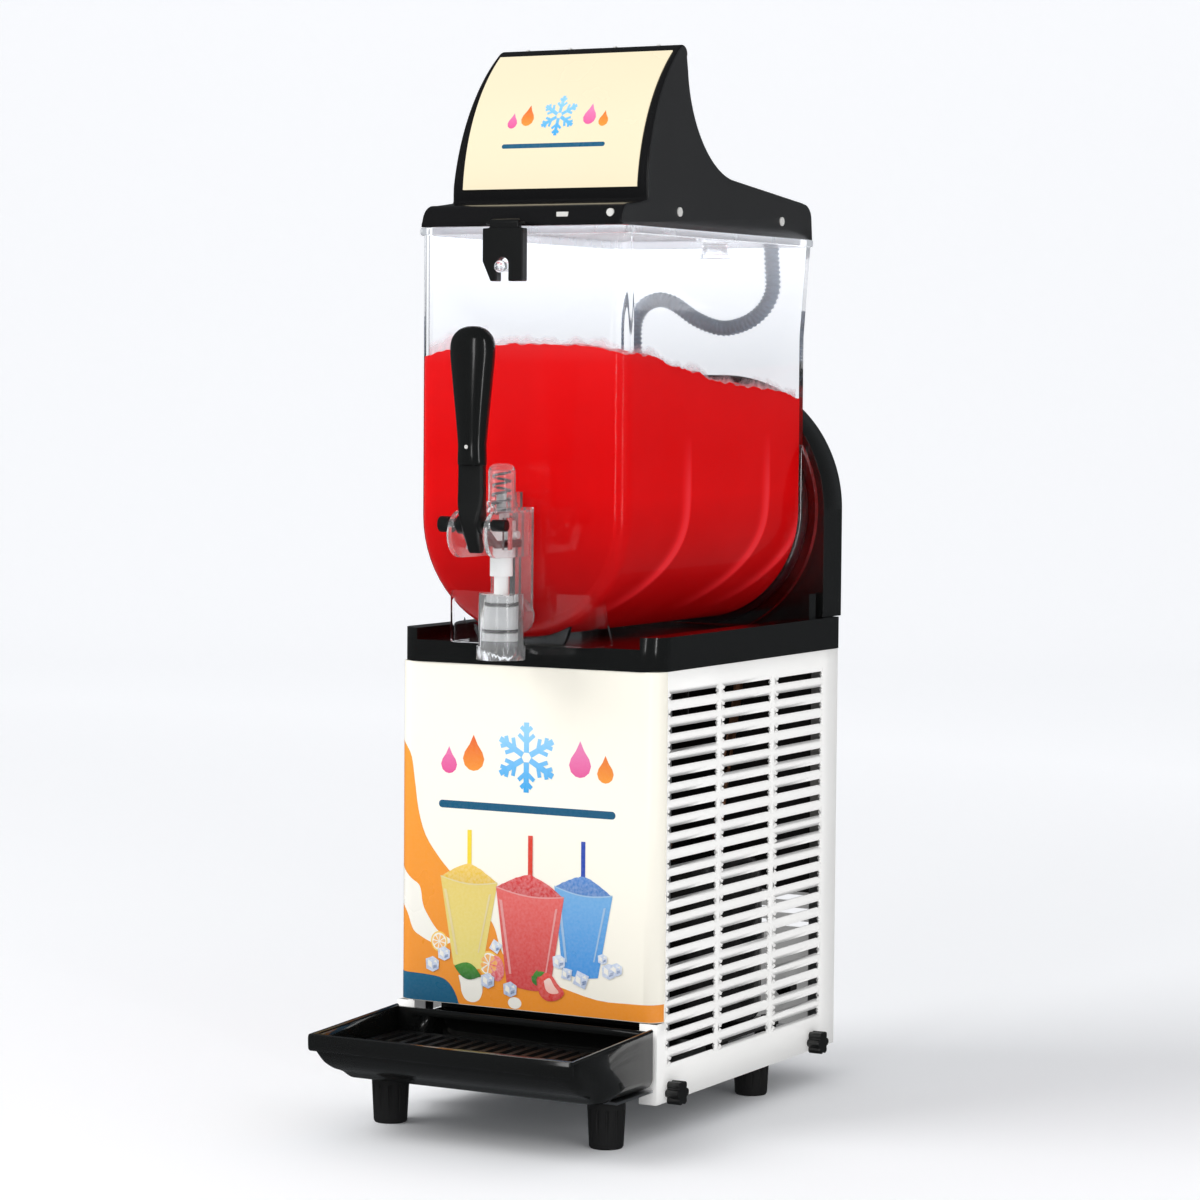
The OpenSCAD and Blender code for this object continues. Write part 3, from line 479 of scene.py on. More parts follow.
def grid_faces(rows, columns, closed=False):
    """Quads of a grid of rows by columns of points, closed round its columns if asked."""
    faces = []
    for i in range(rows - 1):
        for k in range(columns if closed else columns - 1):
            n = (k + 1) % columns
            faces.append((i * columns + k, i * columns + n, (i + 1) * columns + n, (i + 1) * columns + k))
    return faces


def loft(rings):
    """Points and faces of a closed skin through rings of equally many points, with flat ends."""
    count = len(rings[0])
    points = [p for ring in rings for p in ring]
    faces = grid_faces(len(rings), count, closed=True)
    faces.append(tuple(range(count))[::-1])
    faces.append(tuple(range((len(rings) - 1) * count, len(rings) * count)))
    return points, faces


def oval(wide, tall, sides):
    """Points of an ellipse by its half sizes, anticlockwise from the right."""
    turns = [2 * pi * k / sides for k in range(sides)]
    return [(wide * cos(t), tall * sin(t)) for t in turns]


def spun(profile, centre, axis, sides):
    """Points and faces of a round form from its profile of (radius, place along the axis)."""
    rings = []
    for radius, at in profile:
        ring = [[centre[0] + u, centre[1] + v] for u, v in oval(radius, radius, sides)]
        for point in ring:
            point.insert(axis, at)
        rings.append(ring)
    return loft(rings)


def clamped(value):
    return min(1.0, max(0.0, value))


def plan_rectangle(x0, x1, y0, y1, radius, steps=8):
    """Points of a rounded rectangle in plan."""
    centres = ((x1 - radius, y1 - radius), (x0 + radius, y1 - radius),
               (x0 + radius, y0 + radius), (x1 - radius, y0 + radius))
    ring = []
    for k, (x, y) in enumerate(centres):
        for i in range(steps + 1):
            turn = pi / 2 * (k + i / steps)
            ring.append((x + radius * cos(turn), y + radius * sin(turn)))
    return ring


def smooth_line(points, steps=8):
    """Catmull-Rom curve through points of any dimension."""
    points = [Vector(p) for p in points]
    line = []
    for a, b, c, d in zip(points[:1] + points, points, points[1:], points[2:] + points[-1:]):
        for k in range(steps):
            t = k / steps
            line.append(0.5 * (2 * b + (c - a) * t + (2 * a - 5 * b + 4 * c - d) * t * t
                               + (3 * b - a - 3 * c + d) * t ** 3))
    return line + points[-1:]


def lookup(value, places, results):
    """Straight-line interpolation in a table of places and results."""
    if value <= places[0]:
        return results[0]
    for i in range(1, len(places)):
        if value <= places[i]:
            share = (value - places[i - 1]) / (places[i] - places[i - 1])
            return results[i - 1] + share * (results[i] - results[i - 1])
    return results[-1]


# ---- cable hose

HOSE_ROUTE = [
    (44, 225, 690), (44, 225, 677), (45, 225, 663), (45, 225, 648), (39, 225, 635),
    (28, 225, 625), (14, 225, 619), (0, 225, 617), (-14, 225, 620), (-28, 225, 626),
    (-40, 225, 634), (-50, 225, 639), (-60, 225, 641), (-69, 225, 639), (-77, 225, 634),
    (-82, 225, 626), (-84, 225, 617), (-84, 225, 604), (-84, 225, 593),
]


def make_hose():
    """Corrugated tube: rings along the route whose radius rises and falls with each rib."""
    rib, per_rib, sides, crest, depth = 3.8, 6, 20, 6.6, 1.3
    line = smooth_line(HOSE_ROUTE, 12)
    travelled = [0.0]
    for a, b in zip(line, line[1:]):
        travelled.append(travelled[-1] + (b - a).length)
    length = travelled[-1]
    count = int(length / rib) * per_rib
    centres, rings = [], []
    for i in range(count + 1):
        at = length * i / count
        j = min(max(k for k, gone in enumerate(travelled) if gone <= at + 1e-9), len(line) - 2)
        centres.append(line[j].lerp(line[j + 1], (at - travelled[j]) / (travelled[j + 1] - travelled[j])))
    for i, centre in enumerate(centres):
        ahead = (centres[min(i + 1, count)] - centres[max(i - 1, 0)]).normalized()
        side = ahead.cross(Vector((0, 1, 0))).normalized()
        other = ahead.cross(side)
        radius = crest - depth * (0.5 - 0.5 * cos(2 * pi * i / per_rib))
        rings.append([centre + radius * (side * u + other * v) for u, v in oval(1, 1, sides)])
    hose = piece("cable_hose", *loft(rings), "lid", "hose_grey", 80)
    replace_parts(hose, "lid_hose")


# ---- bowl

AXIS_Z = JOINTS["auger_spin"]["pos_m"][2] / MM
BOWL_FLOOR = corners("bowl")[0].z
RIM_Z = corners("bowl")[1].z
BOWL_R = 91
WALL = 4
FRONT_Y = -113
BACK_Y = 193
FRONT_ROUND = 12
FLARE_Z = 610
FLARE = 12
OPENING_R = 82
RIM_T = 6


def back_y(z, inset):
    """Y of the bowl's back wall, which leans back above the flare."""
    return BACK_Y - inset + FLARE * max(0.0, z - FLARE_Z) / (RIM_Z - FLARE_Z)


def trough_half(radius, top):
    """Right half of the trough's outline from its lowest point up to top, as (x, z)."""
    turns = sorted(quarter(16) + [acos(OPENING_R / radius)])
    half = [(radius * sin(t), AXIS_Z - radius * cos(t)) for t in turns]
    half += [(radius, AXIS_Z + OPENING_R * sin(t)) for t in quarter(6)[1:]]
    return half + [(radius, z) for z in (580, FLARE_Z, 640, 665, top)]


def bowl_skin(inset, top):
    """Stations of one skin of the bowl from front to back, then the edge of the rear opening."""
    radius, round_r = BOWL_R - inset, FRONT_ROUND - inset
    half = trough_half(radius, top)
    stations = []
    for turn in quarter(8):
        share = 1 - round_r * (1 - sin(turn)) / radius
        y = FRONT_Y + inset + round_r * (1 - cos(turn))
        stations.append([(x * share, y, AXIS_Z + (z - AXIS_Z) * share if z < AXIS_Z else z) for x, z in half])
    stations.append([(x, back_y(z, inset), z) for x, z in half])
    stations.append([(sqrt(max(0.0, OPENING_R ** 2 - (z - AXIS_Z) ** 2)), back_y(z, inset), z)
                     for _, z in half])
    return stations


def make_bowl():
    """Outer and inner skin of the bowl, joined round the mouth and round the rear opening."""
    skins = [bowl_skin(inset, RIM_Z - RIM_T - 0.1) for inset in (0, WALL)]
    rows, levels = len(skins[0]), len(skins[0][0])
    points = [(way * x, y, z) for skin in skins for row in skin for x, y, z in row for way in (-1, 1)]
    faces = []

    def face(*places):
        """Face through points that are each given by skin, row, level and side."""
        faces.append([((skin * rows + row) * levels + level) * 2 + side for skin, row, level, side in places])

    for skin in (0, 1):
        for k in range(levels - 1):
            face((skin, 0, k, 0), (skin, 0, k, 1), (skin, 0, k + 1, 1), (skin, 0, k + 1, 0))
            for row in range(rows - 1):
                for side in (0, 1):
                    face((skin, row, k, side), (skin, row + 1, k, side),
                         (skin, row + 1, k + 1, side), (skin, row, k + 1, side))
    opening = [k for k, (x, y, z) in enumerate(skins[0][-1]) if x > 0.01]
    rear, top = rows - 1, levels - 1
    for side in (0, 1):
        for k in range(opening[0] - 1, opening[-1] + 1):
            face((0, rear, k, side), (0, rear, k + 1, side), (1, rear, k + 1, side), (1, rear, k, side))
        for row in range(rear):
            face((0, row, top, side), (0, row + 1, top, side), (1, row + 1, top, side), (1, row, top, side))
    face((0, 0, top, 0), (0, 0, top, 1), (1, 0, top, 1), (1, 0, top, 0))
    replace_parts(piece("bowl_shell", points, faces, "bowl", "clear_plastic", 40), "bowl")


def make_bowl_rim():
    """Flat flange round the mouth of the bowl, with rounded edges."""
    out, edge = 3, 1.4
    low, high, rear = RIM_Z - RIM_T, RIM_Z - 0.2, corners("bowl")[1].y
    rings = []
    for inset, z in ((edge, low), (0.3, low + 0.4), (0, low + edge), (0, high - edge), (0.3, high - 0.4),
                     (edge, high)):
        wide = BOWL_R + out - inset
        plan = plan_rectangle(-wide, wide, FRONT_Y - out + inset, rear - inset, FRONT_ROUND + out - inset)
        rings.append([(x, y, z) for x, y in plan])
    wide = BOWL_R - WALL
    plan = plan_rectangle(-wide, wide, FRONT_Y + WALL, BACK_Y + FLARE - WALL, FRONT_ROUND - WALL)
    rings += [[(x, y, z) for x, y in plan] for z in (high, low)] + rings[:1]
    piece("bowl_rim", sum(rings, []), grid_faces(len(rings), len(plan), True), "bowl", "clear_plastic", 40)


def make_bowl_flange():
    """Clear collar round the back of the trough, which seals against the gasket."""
    outer_r, inner_r, steps = 106, BOWL_R + 0.08, 60
    top = AXIS_Z + sqrt(outer_r ** 2 - BOWL_R ** 2) - 1
    heights = [BOWL_FLOOR + (top - BOWL_FLOOR) * i / steps for i in range(steps + 1)]
    right = [(sqrt(outer_r ** 2 - (z - AXIS_Z) ** 2), z) for z in heights] + [(inner_r, top)]
    right += [(inner_r * cos(t), AXIS_Z - inner_r * sin(t)) for t in quarter(steps)]
    ring = right + [(-x, z) for x, z in right[::-1][1:]]
    rings = [[(x, y, z) for x, z in ring] for y in (BACK_Y - 6, BACK_Y - 0.1)]
    bevelled(piece("bowl_flange", *loft(rings), "bowl", "clear_plastic", 30), 1.2)


def make_bowl_apron():
    """Clear apron that stands on the deck in front of the trough and turns back at both ends."""
    half, thick, corner, back, top, steps = 62, 2.5, 10, -81, 411, 8
    y_front, low = FRONT_Y - 0.1, BOWL_FLOOR + 2
    path = [(half, back), (half, (back + y_front) / 2)]
    for turn in quarter(steps):
        path.append((half - corner + corner * cos(turn), y_front + corner - corner * sin(turn)))
    path += [(x, y_front) for x in (30, 0)]
    path += [(-x, y) for x, y in path[::-1][1:]]
    rings = []
    for i, (x, y) in enumerate(path):
        ahead = Vector(path[min(i + 1, len(path) - 1)]) - Vector(path[max(i - 1, 0)])
        out = Vector((ahead.y, -ahead.x)).normalized() * -thick
        share = clamped((back - y) / (back - y_front - corner))
        z = low + (top - low) * sin(pi / 2 * share) ** 0.8
        ends = ((x, y), (x + out.x, y + out.y))
        rings.append([(*ends[0], BOWL_FLOOR), (*ends[0], z), (*ends[1], z), (*ends[1], BOWL_FLOOR)])
    bevelled(piece("bowl_apron", *loft(rings), "bowl", "clear_plastic", 40, MATERIALS["clear_skirt"]), 0.7)


def make_bowl_foot():
    """Black foot behind the apron, shaped to the underside of the trough."""
    under_r, half, steps = BOWL_R + 0.4, 42, 32
    low = BOWL_FLOOR + 0.3
    side = [(36, low), (38, low + 3), (40.5, low + 9)]
    outline = [(-36, low)] + side
    for i in range(steps + 1):
        x = half - 2 * half * i / steps
        outline.append((x, AXIS_Z - sqrt(under_r ** 2 - x ** 2)))
    outline += [(-x, z) for x, z in side[:0:-1]]
    rings = [[(x, y, z) for x, z in outline] for y in (-109.8, -104)]
    bevelled(piece("bowl_foot", *loft(rings), "bowl", "black_gloss", 30), 0.8)


def make_bowl_nub():
    """Mushroom nub that the latch holds."""
    profile = [(0.1, -133), (3.4, -133), (4.6, -131.6), (4.6, -130), (3.8, -129), (3.8, FRONT_Y - 1),
               (6.5, FRONT_Y - 0.2), (0.1, FRONT_Y - 0.2)]
    centre = (JOINTS["latch_swing"]["pos_m"][0] / MM, 658)
    piece("bowl_nub", *spun(profile, centre, 1, 24), "bowl", "clear_plastic", 40)


# ---- drink

SCRAPES = (-4, 134, 200)
SCRAPE_TOP = 502
SCRAPE_DROP = 109
SCRAPE_FADE = 30


def slush_top(x, y):
    """Height of the drink's surface: highest behind the front wall and falling to the back."""
    crown = lookup(x, (-87, -60, -22, 47, 87), (589, 595, 599.5, 599.5, 593.5))
    fall = lookup(y, (-112, -68, -10, 51, 144, 198), (0, 2, 13, 22, 27.5, 36))
    rough = 2.6 * noise.noise(Vector((x, y, 3)) / 17) + 1.5 * noise.noise(Vector((x, y, 9)) / 6.5)
    return crown - fall + rough + 0.7 * noise.noise(Vector((x, y, 5)) / 2.4)


# painted highlight: the drink's colour is lighter along these scraper lines
def scrape_and_highlight(y, z):
    """1 on the lines that the scraper's flights draw along the trough's sides, falling to 0 beside them."""
    high = SCRAPE_TOP + SCRAPE_FADE
    if z > high:
        return 0.0
    down = max(0.0, (SCRAPE_TOP - z) / SCRAPE_DROP)
    best = 0.0
    for start in SCRAPES:
        off = y - start + 84 * down ** 3
        width = (1.8 if off > 0 else 8.0) * (1 + 1.6 * down ** 3)
        best = max(best, exp(-(off / width) ** 2))
    return best * clamped((high - z) / 45) * clamped((z - 393) / 40)


def make_slush():
    """Drink that fills the trough up to its rough surface, hollow where the scraper turns."""
    gap, cavity_r, cavity_y = -0.6, OPENING_R + 0.5, -101
    radius, round_r = BOWL_R - WALL - gap, FRONT_ROUND - WALL
    columns, arc_steps, rows, corner_steps, steps = 64, 116, 30, 6, 165
    y_front, y_rear = FRONT_Y + WALL + gap, BACK_Y - WALL - gap
    stations = []
    for turn in quarter(corner_steps):
        stations.append((y_front + round_r * (1 - cos(turn)), round_r * (1 - sin(turn))))
    start = stations[-1][0]
    stations += [(start + (y_rear - start) * i / steps, 0.0) for i in range(1, steps + 1)]
    arc = [pi * i / arc_steps for i in range(arc_steps + 1)]
    points, marks = [], []
    for y, inset in stations:
        r = radius - inset
        across = [-r + 2 * r * i / columns for i in range(columns + 1)]
        ring = [(x, slush_top(x, y)) for x in across]
        left, right = ([(x, top + (AXIS_Z - top) * i / rows) for i in range(1, rows)]
                       for x, top in ((-r, slush_top(-r, y)), (r, slush_top(r, y))))
        ring += right + [(r * cos(t), AXIS_Z - r * sin(t)) for t in arc] + left[::-1]
        for k, (x, z) in enumerate(ring):
            on_wall = k > columns and inset == 0
            mark = scrape_and_highlight(y, z) if on_wall else 0.0
            sunk = 0.1 * (1 - mark) if on_wall and z < SCRAPE_TOP + SCRAPE_FADE else 0.0
            sunk *= clamped((y - start) / 20)
            if z < AXIS_Z:
                out = Vector((x, z - AXIS_Z)).normalized()
            else:
                out = Vector((copysign(1, x), 0))
                sunk *= clamped((SCRAPE_TOP + SCRAPE_FADE - z) / 40)
            points.append((x - out.x * sunk, y, z - out.y * sunk))
            marks.append(mark)
    count = len(points) // len(stations)
    last = len(points) - count
    turns = [atan2(z - AXIS_Z, x) for x, _, z in points[last:]]
    for y in (y_rear, cavity_y):
        points += [(cavity_r * cos(t), y, AXIS_Z + cavity_r * sin(t)) for t in turns]
        marks += [0.0] * count
    faces = grid_faces(len(stations) + 2, count, closed=True)
    faces += [tuple(range(count)), tuple(range(last + 2 * count, last + 3 * count))]
    drink = marked("drink", points, faces, "bowl", "slush", "scrape_and_highlight", marks)
    drink.data.set_sharp_from_angle(angle=radians(50))


def make_frost():
    """Thin film of frozen splashes on the walls above the drink."""
    inset = WALL + 0.12
    half, y0, y1 = BOWL_R - inset, FRONT_Y + inset, BACK_Y - inset
    plan = plan_rectangle(-half, half, y0, y1, FRONT_ROUND - WALL, 6)
    line = []
    for a, b in zip(plan, plan[1:] + plan[:1]):
        steps = max(1, int(dist(a, b) / 1.6))
        line += [(a[0] + (b[0] - a[0]) * k / steps, a[1] + (b[1] - a[1]) * k / steps) for k in range(steps)]
    levels = 5
    points, film = [], []
    for x, y in line:
        base = slush_top(x, y) - 2.5
        ragged = 1 + 0.5 * noise.noise(Vector((x, y, 20)) / 16) + 0.12 * noise.noise(Vector((x, y, 31)) / 5)
        tall = (17 if y < y0 + 6 and x < -30 else 9) * ragged
        for k in range(levels):
            rise = k / (levels - 1)
            points.append((x, y, base + tall * rise))
            film.append((1 - rise) * (0.75 + 0.5 * noise.noise(Vector((x, y, 8 * k)) / 5)))
    faces = []
    for i in range(len(line)):
        n = (i + 1) % len(line)
        faces += [(i * levels + k, n * levels + k, n * levels + k + 1, i * levels + k + 1)
                  for k in range(levels - 1)]
    marked("frost_film", points, faces, "bowl", "frost", "film", film)


# ---- lid

LID_Z0, LID_TOP = RIM_Z, corners("lid_shell")[1].z
LID_HALF, LID_TOP_HALF = 87.9, 80.9
SIGN_CENTRE = (79.5, 707.1)
SIGN_R = 151.45
SIGN_HALF = 76.3
SIGN_LOW, SIGN_HIGH = 719.4, 825.7


def arc_line(a, b, sag, steps):
    """Points of an arc from a to b that bulges by sag to the left of the way from a to b."""
    a, b = Vector(a), Vector(b)
    way = b - a
    left = Vector((-way.y, way.x)).normalized()
    radius = (way.length_squared / 4 + sag * sag) / (2 * abs(sag))
    centre = (a + b) / 2 + left * (sag - copysign(radius, sag))
    start = atan2(a.y - centre.y, a.x - centre.x)
    sweep = atan2(b.y - centre.y, b.x - centre.x) - start
    sweep = (sweep + pi) % (2 * pi) - pi
    return [(centre.x + radius * cos(start + sweep * i / steps),
             centre.y + radius * sin(start + sweep * i / steps)) for i in range(steps + 1)]


def lid_line():
    """Side outline of the lid as (y, z), from its front lip over the sign and down the swept back."""
    z = LID_Z0
    line = [(-115.8, z + 0.1), (-115.8, z + 3)]
    line += arc_line((-114.8, z + 5), (-100, z + 16.7), 4, 8)
    line += [(-84, z + 18.6), (-71, z + 20.2), (-70, z + 22), (-70.4, z + 27)]
    line += arc_line((-70.6, 722), (-8.6, LID_TOP - 1.3), 13, 30)
    line += arc_line((-5.6, LID_TOP - 0.3), (1.7, LID_TOP - 9.5), 3.8, 8)
    line += arc_line((2.7, LID_TOP - 19), (80, 730.7), -22, 24)
    line += [(110, 727.7), (140, 724.8), (170, 721.8), (200, 718.9)]
    line += arc_line((203.5, 718.2), (215.7, 708), 3, 8)
    line += [(215.7, z + 0.1)]
    return line


def make_lid_cover():
    """Hollow lid, open below, whose cheeks lean in and meet the skin in a generous round."""
    line = lid_line()
    count = len(line)
    points = []
    for side in (-1, 1):
        for y, z in line:
            half = LID_HALF + (LID_TOP_HALF - LID_HALF) * (z - LID_Z0) / (LID_TOP - LID_Z0)
            points.append((side * half, y, z))
    faces = [(i, i + 1, count + i + 1, count + i) for i in range(count - 1)]
    faces += [tuple(range(count)), tuple(range(count, 2 * count))[::-1]]
    cover = bevelled(piece("lid_cover", points, faces, "lid", "lid_black", 30), 6, 6, 60)
    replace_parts(walled(cover, 2.6), "lid_shell")


def make_liner_stub():
    """Clear moulded stub under the lid's liner."""
    profile = [(0.1, 688.9), (15, 688.9), (15.4, 688), (15.4, 684.6), (14.8, 684), (10.6, 683.4),
               (10.2, 682.6), (10.2, 675), (10.8, 674.4), (12.4, 674), (12.6, 673.2), (12.6, 671.4),
               (12, 671), (0.1, 671)]
    piece("liner_stub", *spun(profile, (44, 120), 2, 36), "lid", "clear_plastic", 40)


def on_sign(x, z, lift):
    """Point over the sign's curved face at a height."""
    rise = z - SIGN_CENTRE[1]
    back = sqrt(SIGN_R ** 2 - rise ** 2)
    share = (SIGN_R + 0.3 + lift) / SIGN_R
    return x, SIGN_CENTRE[0] - back * share, SIGN_CENTRE[1] + rise * share


def make_sign():
    """Curved acrylic pane that stands a little proud of its frame."""
    steps = 40
    heights = [SIGN_LOW + (SIGN_HIGH - SIGN_LOW) * i / steps for i in range(steps + 1)]
    edge = ((-SIGN_HALF, -2.6), (-SIGN_HALF, 0), (SIGN_HALF, 0), (SIGN_HALF, -2.6))
    rings = [[on_sign(x, z, lift) for x, lift in edge] for z in heights]
    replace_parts(piece("sign_face", *loft(rings), "lid", "sign_acrylic", 40), "sign_pane")


# ---- printed shapes

PANEL_Y = corners("front_panel")[0].y
PANEL_HALF = corners("front_panel")[1].x
PANEL_LOW = corners("front_panel")[0].z
PANEL_R = 12
LAYER = 0.07


def on_panel(x, z, lift):
    """Point over the front panel, round its corners too."""
    flat = PANEL_HALF - PANEL_R
    if abs(x) <= flat:
        return x, PANEL_Y - lift, z
    across = min(abs(x) - flat, PANEL_R - 0.02)
    turn = asin(across / PANEL_R)
    return (copysign(flat + (PANEL_R + lift) * sin(turn), x),
            PANEL_Y + PANEL_R - (PANEL_R + lift) * cos(turn), z)


def printed(name, shapes, layer, slot, tint=None, place=on_panel, body="cabinet"):
    """Thin ink film over a panel, cut so that it follows the panel's curve. Shapes are lists of (x, z),
    and a tint is what ink() takes after the name."""
    if place is on_panel:
        flat = PANEL_HALF - PANEL_R
        cuts = [((side * (flat + PANEL_R * sin(radians(5 * i))), 0, 0), (1, 0, 0))
                for side in (-1, 1) for i in range(18)]
    else:
        cuts = [((0, 0, z), (0, 0, 1)) for z in range(722, 824, 4)]
    points, faces = [], []
    for i, shape in enumerate(shapes):
        bm = bmesh.new()
        bm.faces.new([bm.verts.new((x, 0, z)) for x, z in shape])
        bmesh.ops.triangulate(bm, faces=bm.faces)
        for at, normal in cuts:
            geometry = bm.verts[:] + bm.edges[:] + bm.faces[:]
            bmesh.ops.bisect_plane(bm, geom=geometry, plane_co=at, plane_no=normal, dist=1e-5)
        for vert in bm.verts:
            vert.co = place(vert.co.x, vert.co.z, LAYER * (layer + 0.12 * i))
        bm.verts.index_update()
        bm.normal_update()
        first = len(points)
        points += [tuple(v.co) for v in bm.verts]
        for face in bm.faces:
            corner = [first + v.index for v in face.verts]
            faces.append(tuple(corner[::-1] if face.normal.y > 0 else corner))
        bm.free()
    piece(name, points, faces, body, "print_" + slot, 60, tint and ink(name, *tint), turned=True)


def placed(outline, x, z, turn, size=1.0):
    """Outline sized, turned by degrees and moved to (x, z)."""
    c, s = cos(radians(turn)), sin(radians(turn))
    return [(x + size * (u * c - v * s), z + size * (u * s + v * c)) for u, v in outline]


def blob(x, z, wide, tall, turn=0.0, steps=28):
    """Ellipse by its full width and height, turned by degrees."""
    return placed(oval(wide / 2, tall / 2, steps), x, z, turn)


def leafy(x, z, long, wide, turn):
    """Leaf with two pointed ends."""
    steps = 10
    upper = [(long * (i / steps - 0.5), wide / 2 * sin(pi * i / steps)) for i in range(steps)]
    return placed(upper + [(-u, -v) for u, v in upper], x, z, turn)


def smoothed(points, steps=6):
    return [(p.x, p.y) for p in smooth_line(points, steps)]


def make_wave():
    """Orange wave along the left and the foot of the panel, with a white drip and a teal corner."""
    edge, low = PANEL_HALF - 0.05, PANEL_LOW + 0.6
    crest = smoothed([(-115, 294), (-104, 282), (-100, 261), (-96.5, 238), (-90, 218.5), (-79, 203.5),
                      (-69, 193), (-48, 173), (-29, 153.5), (-20, 131), (-2, 118), (28, 110), (63, 102),
                      (90, 101.5), (115, 102)])
    crest = [(max(-edge, min(edge, x)), z) for x, z in crest]
    printed("print_wave", [crest + [(edge, low), (-edge, low)]], 1, "orange")
    river = smoothed([(-115, 195), (-103, 184), (-95, 178), (-92, 164), (-87, 155), (-79, 145), (-70, 140),
                      (-66, 137), (-72, 134), (-83, 134.5), (-94, 139), (-101, 144), (-106, 156),
                      (-112, 163), (-115, 165)])
    river = [(max(-edge, x), z) for x, z in river]
    drip = smoothed([(-59.5, 111), (-57.6, 104), (-56.5, 98), (-53.0, 92.6), (-47, 90.8), (-41, 93),
                     (-38, 99), (-37.8, 105), (-36, 111)])
    printed("print_drips", [river, drip, blob(-9, 93.5, 12, 9)], 2, "white")
    corner = [(-edge, 110), (-90, 109.4), (-76, 108), (-68.5, 104.5), (-62.5, 97), (-59, low), (-edge, low)]
    printed("print_corner", [smoothed(corner[:-1]) + [corner[-1]]], 3, "teal")


CUPS = {
    "yellow": {"rim": ((-76, 187), (-25, 185)), "foot": ((-64, 119), (-38, 118)), "apex": (-50, 199),
               "straw": (-52, -48.2, 225), "layer": 4,
               "body": ((0.83, 0.70, 0.19), (0.80, 0.62, 0.15)), "mound": (0.93, 0.60, 0.045),
               "tube": (0.93, 0.70, 0.02)},
    "blue": {"rim": ((25.5, 186), (76, 182)), "foot": ((33, 121), (64, 119)), "apex": (51, 196),
             "straw": (48.6, 52.2, 222.5), "layer": 4,
             "body": ((0.05, 0.30, 0.74), (0.16, 0.42, 0.74)), "mound": (0.055, 0.23, 0.62),
             "tube": (0.012, 0.06, 0.42)},
    "red": {"rim": ((-26, 182), (34, 178)), "foot": ((-16, 108), (22, 105.5)), "apex": (4, 194),
            "straw": (2.2, 6.2, 224), "layer": 7,
            "body": ((0.66, 0.045, 0.045), (0.80, 0.13, 0.115)), "mound": (0.74, 0.030, 0.032),
            "tube": (0.72, 0.035, 0.012)},
}


def make_cup(name, cup):
    """Filled cup of the print: straw, body, heaped ice, and rim line with shine."""
    layer = cup["layer"]
    (xl, zl), (xr, zr) = cup["rim"]
    (bl, bz), (br, bw) = cup["foot"]
    ax, az = cup["apex"]
    low, high = cup["body"]
    straw_low, straw_high, straw_top = cup["straw"]
    wide = xr - xl

    def sagged(share, depth):
        """Point of the rim's front half."""
        return xl + wide * share, zl + (zr - zl) * share - depth * sin(pi * share)

    rim = [sagged(i / 12, 3.6) for i in range(13)]
    foot = [(br + (bl - br) * i / 6, bw + (bz - bw) * i / 6 - 2.2 * sin(pi * i / 6)) for i in range(7)]
    straw = [(straw_low, az - 6), (straw_high, az - 6), (straw_high, straw_top), (straw_low, straw_top)]
    heap = []
    for i in range(25):
        share = i / 24
        x = xl + 0.6 + (wide - 1.2) * share
        slope = max(0.0, 1 - abs(x - ax) / ((ax - xl) if x < ax else (xr - ax)))
        z = zl + (zr - zl) * share + (az - (zl + zr) / 2) * (0.45 * slope + 0.55 * sin(pi / 2 * slope))
        heap.append((x, z + 0.7 * noise.noise(Vector((x, z, 4)) / 2.1)))
    heap += [sagged(1 - i / 12, 3.0) for i in range(13)]
    line = rim + [(x, z + 1.1) for x, z in rim[::-1]]
    shine = [(xl + 3.0, zl - 9), (xl + 5.6, zl - 9.5), (bl + 4.2, bz + 8), (bl + 2.2, bz + 8)]
    gleam = [(xr - 7.5, zr - 9), (xr - 5.5, zr - 8.5), (br - 3.0, bw + 12), (br - 4.2, bw + 12)]
    pale = tuple(0.72 * c + 0.22 for c in high)
    for part, shapes, above, tint in (
            ("straw", [straw], -0.5, (cup["tube"], cup["tube"], az, straw_top, 0.05)),
            ("cup", [rim + foot], 0, (low, high, bz, zl, 0.07)),
            ("heap", [heap], 1, (scaled(cup["mound"], 0.85), cup["mound"], zl, az, 0.2)),
            ("shine", [line, shine, gleam], 2, (pale, pale, bz, zl, 0.05))):
        printed(f"{name}_{part}", shapes, layer + above, name, tint)


ICE_CUBES = ((-83, 118, 12, 0), (-72.5, 127, 11, 0), (-26, 136, 10, 15), (-33, 109, 12, 0), (-13, 104, 12, 0),
             (30, 129, 11, 0), (37, 120, 10, 35), (49.5, 116.5, 13, 25), (73.5, 125, 12, 0), (80, 127, 10, 0),
             (68, 134, 8, 0))
CUBE = ((-0.45, -0.35), (0.05, -0.525), (0.475, -0.3), (0.5, 0.25), (0.05, 0.5), (-0.5, 0.3))
GLINTS = (((-0.34, -0.1), (-0.02, -0.28), (-0.02, 0.08), (-0.3, 0.26)),
          ((0.1, 0.16), (0.36, 0.08), (0.3, 0.3)))
SHADE = ((0.04, -0.34), (0.34, -0.22), (0.36, -0.02), (0.08, -0.1))
CITRUS = ((-77, 136, 5.7), (-32, 122, 7.6))


